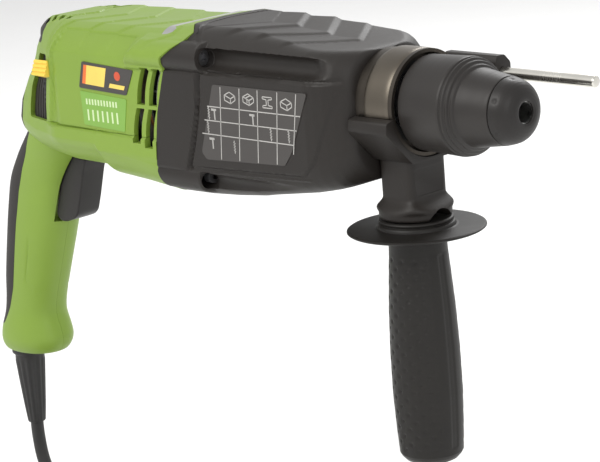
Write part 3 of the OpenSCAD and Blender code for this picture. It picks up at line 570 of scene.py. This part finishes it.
x, y, z, side, s = shell_grid(gear_stations, gear_x, 440)
upright = blend(18, 27, y)
lug = 35.5 + np.sqrt(np.clip(8.4 ** 2 - (z - screw_z) ** 2, 0, None))
run = np.clip((z - 11.6) * 4, 0, 1) * np.clip((28.4 - z) * 4, 0, 1) * blend(-182.2, -184.2, x)
y = y + upright * run * np.clip(lug - y, 0, 7)
dug = 36.8 - np.sqrt(np.clip(5.4 ** 2 - (z - screw_z) ** 2, 0, None))
run = (np.abs(z - screw_z) < 5.4) * blend(-184.2, -182.2, x) * blend(-92, -108, x)
y = np.where(z > 0, y - run * np.clip(y - dug, 0, 9), y)
low_lug = 31.6 + np.sqrt(np.clip(8.8 ** 2 - (z + 44.5) ** 2, 0, None))
run = (np.abs(z + 44.5) < 8.8) * blend(-190, -193, x)
y = y + upright * run * np.clip(low_lug - y, 0, 5)
low_dug = 37.5 - np.sqrt(np.clip(5.2 ** 2 - (z + 46.5) ** 2, 0, None))
run = (np.abs(z + 46.5) < 5.2) * blend(-192.4, -190.4, x) * blend(-118, -150, x)
y = y - run * np.clip(y - low_dug, 0, 9)
# Rear band, groove, raised panel with its bordering line, shelf under the panel
band = inside(x, z, [(-240, -41), (-201.5, -41), (-191.2, -8), (-189.4, 12.4), (-240, 12.4)], 1.2)
y = y + upright * 1.1 * band
groove_path = [(-187.2, 11.6), (-188.2, 0), (-190.8, -12), (-194.6, -25), (-199.4, -38.5)]
y = y - upright * 1.5 * near(x, z, groove_path, 2.1)
panel = [(-198.4, -38.2), (-113.4, -35), (-106, -27), (-91, 12.2), (-185.4, 12.2)]
y = y + upright * np.clip(40.0 - y, 0, 1.1) * inside(x, z, panel, 1.0) * blend(-90, -100, x)
y = y - upright * 0.5 * near(x, z, panel[1:4], 0.9) * blend(-92, -106, x)
y = y - upright * 0.8 * near(x, z, [(-181, 13.0), (-92, 13.6)], 1.3)
y = y + upright * 0.7 * near(x, z, [(-200, -40.5), (-112, -37.6)], 1.2)
# Three swept saw-tooth steps on the top
step_at = (x + 0.75 * y + 170) / 22
tooth = (step_at % 1.0) * np.clip((1 - step_at % 1.0) * 6, 0, 1)
z = z + blend(0.22, 0.14, s) * (step_at > 0) * (step_at < 3) * 1.5 * (tooth - 0.2)
z = z - 0.9 * blend(0.34, 0.2, s) * near(x, y, [(-205, 0), (-198, 24), (-186, 40)], 2.5)
x = x + joint_sweep(s) * blend(-196, -222, x)
outer = np.stack([x, y * side, z], -1)
face_x = np.array([-87.6, -87.4, -88.4, -93, -94, -99, -112, -140, -190, -222.0])
sizes = [np.array(v, float)[:, None] for v in zip(
    (26, 25.7, -36.5, 22, 19, 0), (25.6, 25.6, -25.6, 25.5, 25.5, 0), (25.5, 25.5, -25.5, 25.4, 25.4, 0),
    (25, 25, -25, 24.9, 24.9, 0), (24.2, 24.2, -24.2, 24.1, 24.1, 0), (27, 25.4, -39, 18, 18, 0),
    (29, 26, -42, 15, 15, 0), (29.5, 29, -46, 13, 13, 0), (30.6, 31.8, -52, 13, 13, 0), (36.4, 33.2, -54, 13, 13, 0))]
lx, ly, lz, lside, ls = section_rows(face_x, sizes, 440)
lx = lx + joint_sweep(ls) * blend(-196, -222, lx)
gear_case = skin("gear_case", np.concatenate([outer, np.stack([lx, ly * lside, lz], -1)]), loop=True)
for sign in (-1, 1):
    carve(gear_case, turned("screw_hole", [[-205, 4.7], [-178, 4.7]], (0, sign * 36.6, screw_z), "x", 48, 0.1))
    carve(gear_case, turned("low_screw_hole", [[-212, 4.7], [-186, 4.7]], (0, sign * 34.5, -46.0), "x", 48, 0.1))
carve(gear_case, turned("knob_hole", [[30, 6.3], [50, 6.3]], (-180, 0, -12), "y", 48, 0.1))
charcoal = moulding("charcoal_nylon", (0.017, 0.0140, 0.0120), 1300.0, 0.25, 0.47, dust=0.02, bump=(0.45, 0.16),
                    Specular_IOR_Level=0.35)
gear_case.data.materials.append(charcoal)
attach(gear_case, "housing"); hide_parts("gear_housing")

# ---------------------------------------------------------------- mode chart and plates
# Mode chart and the two plates: thin printed films set on the housings. The chart has a pale ruled
# grid with simple pictures of work pieces, hammers and bits, and no words.


def strokes(name, lines, width, near_y, far_y):
    """Thin closed bars along straight lines given by their two ends in x and z, all in one mesh: each is
    its line moved half the width to both sides, between two places along Y."""
    ends = np.asarray(lines, float)
    way = ends[:, 1] - ends[:, 0]
    aside = np.stack([-way[:, 1], way[:, 0]], -1) / np.linalg.norm(way, axis=1, keepdims=True) * width / 2
    flat = np.stack([ends[:, 0] - aside, ends[:, 1] - aside, ends[:, 1] + aside, ends[:, 0] + aside], 1)
    y = np.zeros(flat.shape[:2] + (1,))
    points = np.concatenate([np.concatenate([flat[..., :1], y + v, flat[..., 1:]], -1) for v in (near_y, far_y)], 1)
    box = np.array([[0, 1, 2, 3], [7, 6, 5, 4], [0, 4, 5, 1], [1, 5, 6, 2], [2, 6, 7, 3], [3, 7, 4, 0]])
    faces = (box[None] + 8 * np.arange(len(ends))[:, None, None]).reshape(-1, 4)
    mesh = bpy.data.meshes.new(name)
    mesh.from_pydata(points.reshape(-1, 3) * MM, [], faces.tolist())
    piece = bpy.data.objects.new(name, mesh)
    bpy.context.scene.collection.objects.link(piece)
    return piece


def gather(name, parts):
    """Joins closed meshes into one piece."""
    with bpy.context.temp_override(active_object=parts[0], object=parts[0], selected_objects=parts,
                                   selected_editable_objects=parts):
        bpy.ops.object.join()
    parts[0].name = name
    return parts[0]


def chain(points):
    """Lines from each point to the next."""
    return [(a, b) for a, b in zip(points[:-1], points[1:])]


brick = chain([(-4, -1.5), (0.5, -3), (4, -1), (4, 1.2), (0, 3), (-4, 1.2), (-4, -1.5)]) + \
    chain([(-4, 1.2), (0.5, -0.4), (4, 1.2)]) + [((0.5, -0.4), (0.5, -3))]
slab = brick + [((-2.4, 0.5), (1.6, 2.2)), ((-1, -1.8), (-1, 0.1))]
beam = chain([(-3.4, 2.8), (3.4, 2.8), (3.4, 1.8), (0.7, 1.4), (0.7, -1.4), (3.4, -1.8), (3.4, -2.8), (-3.4, -2.8),
              (-3.4, -1.8), (-0.7, -1.4), (-0.7, 1.4), (-3.4, 1.8), (-3.4, 2.8)])
hammer = [((-2.2, 2.4), (1.6, 2.4)), ((-2.2, 1.8), (1.6, 1.8)), ((0, 1.6), (0, -3.2)), ((0.4, 1.6), (0.4, -3.2))]
bit = [((0, 3.4), (0, -3.4)), ((-0.7, 2.6), (0.7, 1.8)), ((-0.7, 1.2), (0.7, 0.4)), ((-0.7, -0.2), (0.7, -1)),
       ((-0.7, -1.6), (0.7, -2.4))]
film_dark = moulding("film_dark", (0.050, 0.045, 0.042), 2600.0, 0.15, 0.42, bump=(0.1, 0.05))
print_pale = moulding("print_pale", (0.46, 0.45, 0.43), 3000.0, 0.3, 0.5, bump=(0.1, 0.03))
chart_line = [(-176.2, 7.4), (-106.7, 8.0), (-120.2, -22.7), (-126.2, -30.6), (-185.3, -33.1), (-188.8, -29.5)]
chart = prism("mode_chart", eased(chart_line, 1.6), -40.3, -39.6)
chart.data.materials.append(film_dark)
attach(chart, "housing"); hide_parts("mode_label")
rules = [((-170.2, 6.6), (-173.8, -32)), ((-155.8, 6.8), (-159.8, -31.4)), ((-142.3, 7), (-145.8, -31)),
         ((-127.8, 7.1), (-131.8, -30.4)), ((-114.2, 7.2), (-119.2, -24)), ((-181.4, -4.4), (-112.3, -4)),
         ((-184.4, -11.9), (-115.6, -11.6)), ((-187, -19.2), (-118.6, -19.2))]
pictures = [(brick, -163.5, 1.4), (slab, -149.5, 1.6), (beam, -135.5, 1.2), (brick, -121.8, 1.3), (bit, -180.6, -8),
            (hammer, -176.4, -8), (bit, -182, -15.4), (hammer, -179.6, -23.6), (hammer, -147.4, -8.4),
            (bit, -162.8, -24.4), (bit, -134.6, -15.2), (bit, -121.6, -15)]
ink = rules + [((a[0] + px, a[1] + pz), (b[0] + px, b[1] + pz))
               for shape, px, pz in pictures for a, b in shape]
ruled = strokes("chart_print", ink, 0.5, -40.36, -40.2)
ruled.data.materials.append(print_pale)
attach(ruled, "housing"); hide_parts("mode_label")

plate = prism("rating_film", eased([(-281.7, 12.2), (-238.9, 10.2), (-246.2, -4.0), (-286, -2.6)], 1.2), -40.5, -39.8)
plate.data.materials.append(film_dark)
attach(plate, "housing"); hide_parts("rating_plate")
for name, colour, shapes in (
        ("plate_yellow", (0.86, 0.62, 0.12), [[(-277.6, 10.4), (-261.3, 9.7), (-264.4, -0.9), (-280, -0.2)],
                                              [(-259, 1.6), (-246.6, 1.0), (-247.8, -1.3), (-260.2, -0.7)]]),
        ("plate_orange", (0.78, 0.16, 0.03), [[(-280.2, 10.5), (-277.6, 10.4), (-280, -0.2), (-282.8, 0)]]),
        ("plate_emblem", (0.60, 0.08, 0.03), [[(-252.4 + 2.5 * np.cos(a), 6 + 2.5 * np.sin(a))
                                               for a in np.arange(24) * np.pi / 12]])):
    mark = gather(name, [prism(name, shape, -40.56, -40.4) for shape in shapes])
    mark.data.materials.append(moulding(name, colour, 2600.0, 0.25, 0.4, bump=(0.1, 0.03)))
    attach(mark, "housing"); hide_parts("rating_plate")
badge = prism("name_film", eased([(-285.6, -4.4), (-246.6, -6.2), (-250.4, -24.4), (-284.6, -23.2)], 1.0), -40.4, -39.8)
badge.data.materials.append(moulding("film_green", (0.205, 0.400, 0.060), 2600.0, 0.06, 0.36, bump=(0.1, 0.03)))
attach(badge, "housing"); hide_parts("name_plate")
ticks = [((-280.6 + 2.5 * k, -8.4), (-280.6 + 2.5 * k, -11.6)) for k in range(11)] + \
    [((-280.2 + 4.1 * k, -14.4), (-280.2 + 4.1 * k, -20.6)) for k in range(7)]
ticked = strokes("badge_print", ticks, 1.3, -40.46, -40.3)
ticked.data.materials.append(moulding("print_lime", (0.60, 0.74, 0.42), 3000.0, 0.1, 0.45, bump=(0.1, 0.03)))
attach(ticked, "housing"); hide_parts("name_plate")

# ---------------------------------------------------------------- neck, locking sleeve and dust cap
# The turned neck carries the side handle's band. The locking sleeve is moulded, with fine steps where
# the fingers pull it back, and the soft dust cap closes round the bit.
machined, given, result = effect("machined_finish", {"Colour": (0.5, 0.5, 0.5, 1), "Lines": 900.0, "Rough": 0.3,
                                                     "Stain": 0.2},
                                 {"Colour": "Color", "Roughness": "Float", "Height": "Float"})
place = node(machined, "ShaderNodeTexCoord").outputs["Object"]
squeezed = node(machined, "ShaderNodeVectorMath", [(0, place), (1, (1, 0.02, 0.02))], operation="MULTIPLY").outputs[0]
lathe = node(machined, "ShaderNodeTexNoise", [("Vector", squeezed), ("Scale", given.outputs["Lines"]),
                                              ("Detail", 3.0)]).outputs["Fac"]
spots = node(machined, "ShaderNodeTexNoise", [("Vector", place), ("Scale", 60.0), ("Detail", 5.0)]).outputs["Fac"]
off = calc(machined, "SUBTRACT", spots, 0.5)
tone = calc(machined, "MULTIPLY_ADD", off, given.outputs["Stain"], 1.0)
machined.links.new(scaled(machined, given.outputs["Colour"], tone), result.inputs["Colour"])
ripple = calc(machined, "MULTIPLY_ADD", lathe, 0.16, given.outputs["Rough"])
machined.links.new(calc(machined, "MULTIPLY_ADD", off, 0.2, ripple), result.inputs["Roughness"])
machined.links.new(lathe, result.inputs["Height"])


def metal(name, colour, rough, lines=900.0, stain=0.2, metallic=1.0, bump=(0.2, 0.05)):
    """Machined or rolled metal with faint tool lines round the tool axis."""
    return finish(name, machined, {"Colour": (*colour, 1), "Lines": lines, "Rough": rough, "Stain": stain},
                  bump=bump, Metallic=metallic)


def cover(material, *names):
    """Gives those CAD nodes the material."""
    for name in names:
        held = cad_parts[name]
        if not held.material_slots:
            held.data.materials.append(material)
        for slot in held.material_slots:
            slot.material = material


neck_metal = metal("neck_metal", (0.075, 0.066, 0.056), 0.36, 1400, 0.3)
cover(neck_metal, "front_collar")
strap_x = np.concatenate([[-81.0, -80.6, -80], np.linspace(-79, -66.6, 12), [-65.4, -65, -64.6]])
strap_out = 26.9 - 0.35 * (blend(-79.6, -81, strap_x) + blend(-66.2, -64.6, strap_x)) + 0.1 * np.sin(
    np.pi * (strap_x + 81) / 16.4)
arc = np.radians(np.linspace(-8.2, 188.2, 90))
strap_loop_x = np.concatenate([strap_x, strap_x[::-1]])
strap_r = np.concatenate([strap_out, np.full(len(strap_x), 25.95)])
strap = skin("clamp_strap", np.stack([strap_loop_x[None] + 0 * arc[:, None], strap_r[None] * np.cos(arc)[:, None],
                                      strap_r[None] * np.sin(arc)[:, None]], -1))
strap.data.materials.append(metal("strap_metal", (0.15, 0.132, 0.108), 0.30, 300, 0.25, bump=(0.08, 0.03)))
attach(strap, "side_handle"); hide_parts("clamp_band")

sleeve_plastic = finish("sleeve_plastic", machined, {"Colour": (0.024, 0.021, 0.019, 1), "Lines": 1500.0, "Rough": 0.38,
                                                     "Stain": 0.4}, bump=(0.22, 0.05), Specular_IOR_Level=0.4)
sleeve = turned("locking_sleeve_shell", [
    (-61.2, 21.8), (-61.2, 23.2), (-60.2, 24.0), (-47, 24.3), (-35.2, 24.7), (-34.0, 24.5), (-33.6, 23.7),
    (-33.1, 23.7), (-32.7, 24.2), (-31.9, 24.1), (-31.4, 22.9), (-30.9, 22.6), (-30.5, 22.9), (-29.9, 22.6),
    (-29.5, 21.3), (-29.0, 21.0), (-28.6, 21.2), (-28.0, 20.8), (-27.4, 19.5), (-20, 18.4), (-9.7, 16.9),
    (-9.4, 16.4), (-9.4, 12.4), (-21.4, 12.4), (-21.4, 17.1), (-32, 17.1), (-36, 21.8)], (0, 0, 0), "x", 180, 0.3,
    loop=True)
sleeve.data.materials.append(sleeve_plastic)
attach(sleeve, "chuck_sleeve"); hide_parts("locking_sleeve")


def pips(place, angle, radius):
    """Six shallow dents round the cap's rear edge: a round bump in place and angle, taken off the radius."""
    across = (((angle - 0.55) / (np.pi / 3) + 0.5) % 1 - 0.5) * (np.pi / 3) * radius
    return radius - 0.5 * np.exp(-((across ** 2 + (place + 6.2) ** 2) / 1.3 ** 2)) * (radius > 14)


cap = turned("soft_dust_cap", [(-9.1, 11.6), (-9.1, 16.3), (-8.8, 16.7), (-7.6, 16.4), (-6.4, 16.1), (-5.2, 15.8),
                               (-4, 15.3), (-2.6, 14.5), (-1.2, 13.3), (0, 11.8), (0.9, 10), (1.4, 8.2), (1.5, 6.6),
                               (1.1, 5.4), (0, 5.3), (0, 8.5), (-8, 8.5), (-8, 11.6)], (0, 0, 0), "x", 180, 0.35,
             loop=True, shape=pips)
cap_rubber = moulding("cap_rubber", (0.017, 0.015, 0.014), 1500.0, 0.3, 0.42, dust=0.01, bump=(0.3, 0.1),
                      Specular_IOR_Level=0.35)
cap.data.materials.append(cap_rubber)
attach(cap, "spindle"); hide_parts("dust_cap")

# ---------------------------------------------------------------- side handle and depth rod
# Glass-filled yoke that sits under the neck, with a bored block for the depth rod on its far side and a
# square stem that flares into a round seat. Below it: rings, guard disc and a dimpled soft grip.


def soften(piece, width, segments=2, angle=30):
    """Rounds the piece's crisp edges to that width in mm."""
    bevel = piece.modifiers.new("edges", "BEVEL")
    bevel.width, bevel.segments = width * MM, segments
    bevel.limit_method, bevel.angle_limit = "ANGLE", np.radians(angle)
    return bake(piece)


yoke = prism("side_clamp_yoke", eased([(-27.4, -4), (-32, -5), (-32.6, -10.5), (-15, -28.5), (15, -28.5), (31, -13),
                                       (40, -10), (51, 0), (51, 12), (46.5, 16.5), (41, 16.5), (38.5, 12), (38.5, 2),
                                       (31, -4)], 1.2), -87, -61, "x")
stem_z = np.concatenate([np.linspace(-20, -46, 14), np.linspace(-47, -57.8, 20), [-58.4, -58.8, -59.0]])
flare = blend(-47.5, -56, stem_z)[:, None]
trim = np.interp(stem_z, [-59, -58.8, -58.4, -57.8], [1.0, 0.5, 0.15, 0])[:, None]
power = 7 - 5 * flare
half_x, half_y = 11.2 + 7.4 * flare - trim, 13.6 + 5 * flare - trim
turn = np.linspace(0, 2 * np.pi, 160, endpoint=False)[None, :]
stem = skin("stem", np.stack([-76 + half_x * squarer(np.cos(turn), power),
                              half_y * squarer(np.sin(turn), power), stem_z[:, None] + 0 * turn], -1))
carve(yoke, stem, "UNION")
carve(yoke, prism("rod_block", eased([(39.5, 0), (43, -2), (48, -1), (51, 3), (51, 12), (46.5, 16.5), (41, 16.5),
                                      (39.5, 13)], 1.2), -62, -52, "x"), "UNION")
carve(yoke, turned("neck_room", [[-90, 27.1], [-58, 27.1]], (0, 0, 0), "x", 160, 0.1))
carve(yoke, turned("rod_bore", [[-95, 3.15], [-45, 3.15]], (0, 45, 7.2), "x", 48, 0.1))
carve(yoke, turned("bolt_bore", [[-70, 4.2], [-27, 4.2]], (-76, 0, 0), "z", 48, 0.1))
carve(yoke, turned("screw_bore", [[45, 2.3], [56, 2.3]], (-70, 0, 7.2), "y", 32, 0.1))
carve(yoke, turned("nut_pocket", [[-33.4, 7.8], [-20, 7.8]], (-76, 0, 0), "z", 6, 0.1))
carve(yoke, prism("front_panel", [(-11, -33), (11, -33), (9.6, -46.5), (-9.6, -46.5)], -65.05, -60, "x"))
carve(yoke, turned("scallop", [[-75, 9], [-40, 9]], (0, 0, -62.8), "x", 64, 0.1))
soften(yoke, 0.9, 3)
yoke.data.materials.append(charcoal)
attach(yoke, "side_handle"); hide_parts("side_clamp")

barrel_z = np.arange(-70.5, -183.4, -0.62)
barrel = np.interp(barrel_z, [-183, -172, -152, -129, -107, -89, -77, -70.5],
                   [16.5, 17.2, 18, 17.9, 17.1, 15.9, 15, 14.8])
profile = np.concatenate([
    [(-59.6, 6.5), (-59.6, 18.2), (-60.0, 19), (-60.6, 19.3), (-61.4, 19.1), (-61.7, 18.5), (-62.0, 18.7),
     (-62.4, 19.6), (-63.2, 20.1), (-64.0, 20.3), (-64.2, 21.5), (-64.5, 34.6), (-65.0, 35.4), (-65.6, 35.5),
     (-66.1, 34.8), (-66.8, 21), (-67.4, 15.4), (-69.2, 14.5), (-70.0, 14.5)],
    np.stack([barrel_z, barrel], -1), [(-185, 15.6), (-187, 13.8), (-188.4, 11), (-189.1, 7), (-189.2, 1)]])


def dimples(place, angle, radius):
    """Round dents 4.2 mm apart round the grip and 8 mm apart down it, every other column half a step lower,
    on its two sides; plain strips with one raised rib face forwards and back."""
    count = 26
    column = angle / (2 * np.pi) * count
    odd = np.round(column) % 2
    across = (column - np.round(column)) * 2 * np.pi / count * radius
    down = ((place + 4 * odd) / 8 + 0.5) % 1 * 8 - 4
    strip = blend(0.84, 0.90, np.abs(np.cos(angle)))
    field = blend(-77, -79, place) * blend(-181, -179, place)
    dent = 0.62 * np.exp(-(across ** 2 + down ** 2) / 1.05 ** 2) * (1 - strip)
    rib = 0.45 * strip * (1 - 0.9 * blend(0.5, 0.2, np.abs(np.sin(angle)) / 0.35))
    return np.where((place < -70.5) & (place > -184), radius - field * (dent - rib) - 0.35 * field * strip, radius)


handle = turned("side_grip_sleeve", profile, (-76, 0, 0), "z", 208, 0.05, shape=dimples)
carve(handle, turned("bolt_room", [[-106, 4.35], [-50, 4.35]], (-76, 0, 0), "z", 48, 0.1))
grip_soft = moulding("grip_soft", (0.014, 0.0125, 0.011), 1000.0, 0.35, 0.46, dust=0.006, bump=(0.4, 0.15),
                     Specular_IOR_Level=0.3)
handle.data.materials.append(grip_soft)
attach(handle, "side_grip"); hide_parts("side_grip")

rod_end, rod_start = 8.0, 8.0 - 165
rod = turned("depth_rod_bar", [(rod_start, 0.4), (rod_start, 2.3), (rod_start + 0.8, 3.0), (rod_end - 0.6, 3.0),
                               (rod_end, 2.5), (rod_end, 0.4)], (0, 45, 7.2), "x", 64, 0.25)
rod.data.materials.append(metal("rod_steel", (0.78, 0.76, 0.70), 0.14, 2200, 0.06, bump=(0.05, 0.02)))
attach(rod, "depth_rod"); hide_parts("depth_rod")
# Sixteen scallops round the knob: a raised cosine of the angle, taken off the outer radius only
knurl = lambda place, angle, radius: radius - 0.45 * (0.5 + 0.5 * np.cos(16 * angle)) * (radius > 5.5)
lock = turned("rod_lock_knob", [(48.3, 0.5), (48.3, 2.2), (51.2, 2.2), (51.4, 6), (52.2, 6.5), (56.4, 6.5), (57.3, 5.8),
                                (57.4, 0.5)], (-70, 0, 7.2), "y", 96, 0.4, shape=knurl)
lock.data.materials.append(cap_rubber)
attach(lock, "rod_lock"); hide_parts("rod_lock")

# ---------------------------------------------------------------- controls
# Rocker trigger of smooth black nylon, yellow reversing lever on the brush ring with its ribbed
# shutter, and the drill and hammer selector on the left side.
button = prism("trigger_button", eased([(-343, -52.8), (-328, -54), (-331.5, -62), (-337, -79), (-340.6, -88.6),
                                        (-344, -91.4), (-352, -94), (-357, -94), (-360.2, -91), (-360, -88),
                                        (-352.6, -69), (-347.8, -57)], 2.0), -8.4, 8.4)
soften(button, 2.4, 5, 40)
button.data.materials.append(cap_rubber)
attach(button, "trigger"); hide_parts("trigger")


def tilt(piece, degrees, height):
    """Turns the mesh round an axis along X at that height, and keeps the object at the origin."""
    centre = Matrix.Translation((0, 0, height * MM))
    piece.data.transform(centre @ Matrix.Rotation(np.radians(degrees), 4, "X") @ centre.inverted())
    return piece


lever = prism("reversing_lever", eased([(-324.3, -13.4), (-312.4, -13.4), (-312.4, -4.6), (-324.3, -4.6)], 1.2), -44.6,
              -35.4)
for k in range(3):
    carve(lever, prism("rib_gap", [(-325, -12.1 + 2.4 * k), (-310, -12.1 + 2.4 * k), (-310, -11.2 + 2.4 * k),
                                   (-325, -11.2 + 2.4 * k)], -46, -44.0))
soften(lever, 0.5, 2)
tilt(lever, -20, -9)
lever.data.materials.append(moulding("yellow_plastic", (0.90, 0.62, 0.085), 1500.0, 0.06, 0.42, bump=(0.2, 0.1)))
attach(lever, "brush_holder"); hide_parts("reverse_lever")

dial = turned("mode_dial", [(30, 0.5), (30, 5.9), (40.2, 5.9), (40.3, 15.6), (40.8, 16), (43.0, 16), (43.8, 15.2),
                            (44, 0.5)], (-180, 0, -12), "y", 120, 0.4,
              shape=lambda place, angle, radius: radius - 0.3 * (0.5 + 0.5 * np.cos(30 * angle)) * (radius > 15.5))
carve(dial, soften(prism("dial_bar", eased([(-184, -25), (-182.5, -27), (-177.5, -27), (-176, -25), (-176.6, 0),
                                            (-180, 3.6), (-183.4, 0)], 1.5), 43, 51), 1.0, 3), "UNION")
dial.data.materials.append(cap_rubber)
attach(dial, "mode_knob"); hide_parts("mode_knob")

# ---------------------------------------------------------------- works inside the housings
# Machined, wound and stamped parts keep their CAD shape. Steel carries tool lines, the stator its
# stacked sheets, the coils their varnished wire, and the commutator its drawn copper.
stacked, given, result = effect("stacked_sheets", {"Colour": (0.3, 0.3, 0.3, 1), "Sheets": 320.0, "Rough": 0.4},
                                {"Colour": "Color", "Roughness": "Float", "Height": "Float"})
place = node(stacked, "ShaderNodeTexCoord").outputs["Object"]
sheets = node(stacked, "ShaderNodeTexWave", [("Vector", place), ("Scale", given.outputs["Sheets"]),
                                             ("Distortion", 0.6), ("Detail Scale", 4.0)],
                                             bands_direction="X").outputs["Fac"]
rust = node(stacked, "ShaderNodeTexNoise", [("Vector", place), ("Scale", 90.0), ("Detail", 4.0)]).outputs["Fac"]
dim = calc(stacked, "MULTIPLY_ADD", sheets, 0.5, rust)
stacked.links.new(scaled(stacked, given.outputs["Colour"], dim), result.inputs["Colour"])
stacked.links.new(calc(stacked, "MULTIPLY_ADD", rust, 0.3, given.outputs["Rough"]), result.inputs["Roughness"])
stacked.links.new(sheets, result.inputs["Height"])

ground_steel = metal("ground_steel", (0.52, 0.52, 0.51), 0.22)
cover(ground_steel, "armature_shaft", "idler_shaft", "piston", "piston_pin", "striker", "impact_bolt", "hammer_tube",
      "lock_ring")
cover(metal("gear_steel", (0.36, 0.37, 0.38), 0.32, 500), "idler_gear", "tube_gear", "wobble_ring", "clutch_ring",
      "clamp_bolt")
cover(metal("bearing_steel", (0.62, 0.62, 0.62), 0.16, 1600, 0.1), "ball_bearings", "lock_balls")
cover(metal("spring_steel", (0.30, 0.30, 0.31), 0.3, 700), "clutch_spring", "sleeve_spring", "trigger_spring")
screw_steel = metal("screw_steel", (0.28, 0.28, 0.29), 0.34, 700)
cover(screw_steel, "housing_screws")
screws = gather("handle_screw_set", [
    turned("screw", [(-9, 0.4), (-9, 1.6), (9.4, 1.6), (9.6, 3.4), (11.6, 3.4), (12.2, 2.6), (12.2, 1.4), (10.8, 1.2),
                     (10.8, 0.4)],
           (px, 0, pz), "y", 48, 0.2)
    for px, pz in ((-344.2, 12), (-345, -36), (-292, -46), (-240, -50), (-376, -112), (-392, -172))])
screws.data.materials.append(screw_steel)
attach(screws, "housing"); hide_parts("handle_screws")
bridge = twin(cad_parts["gear_bridge"], "gear_bridge_plate")
corners = np.empty(len(bridge.data.vertices) * 3)
bridge.data.vertices.foreach_get("co", corners)
corners[1::3] = np.clip(corners[1::3], -31 * MM, 31 * MM)
bridge.data.vertices.foreach_set("co", corners)
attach(bridge, "housing"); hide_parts("gear_bridge")
cover(metal("cast_aluminium", (0.50, 0.50, 0.49), 0.5, 120, 0.35, bump=(0.5, 0.2)), "bearing_flange", "gear_bridge")
bridge.data.materials.clear()
bridge.data.materials.append(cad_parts["bearing_flange"].material_slots[0].material)
cover(metal("commutator_copper", (0.62, 0.30, 0.14), 0.25, 1800), "commutator")
cover(finish("lamination_steel", stacked, {"Colour": (0.36, 0.36, 0.38, 1)}, bump=(0.5, 0.2), Metallic=0.8),
      "stator_core")
cover(finish("winding_copper", stacked, {"Colour": (0.52, 0.20, 0.07, 1), "Sheets": 260.0, "Rough": 0.3},
             bump=(0.8, 0.3), Metallic=0.6), "field_coils", "armature_core")
cover(moulding("black_nylon", (0.022, 0.022, 0.023), 1400.0, 0.3, 0.48), "switch_body", "cooling_fan",
      "rear_bearing_plate", "lever_shutter")
cover(moulding("blue_nylon", (0.03, 0.09, 0.26), 1400.0, 0.2, 0.45), "brush_ring")
cover(moulding("brush_carbon", (0.03, 0.03, 0.032), 600.0, 0.6, 0.6, bump=(0.6, 0.2)), "carbon_brushes")
cover(moulding("seal_rubber", (0.018, 0.018, 0.019), 900.0, 0.4, 0.55), "shaft_seal")
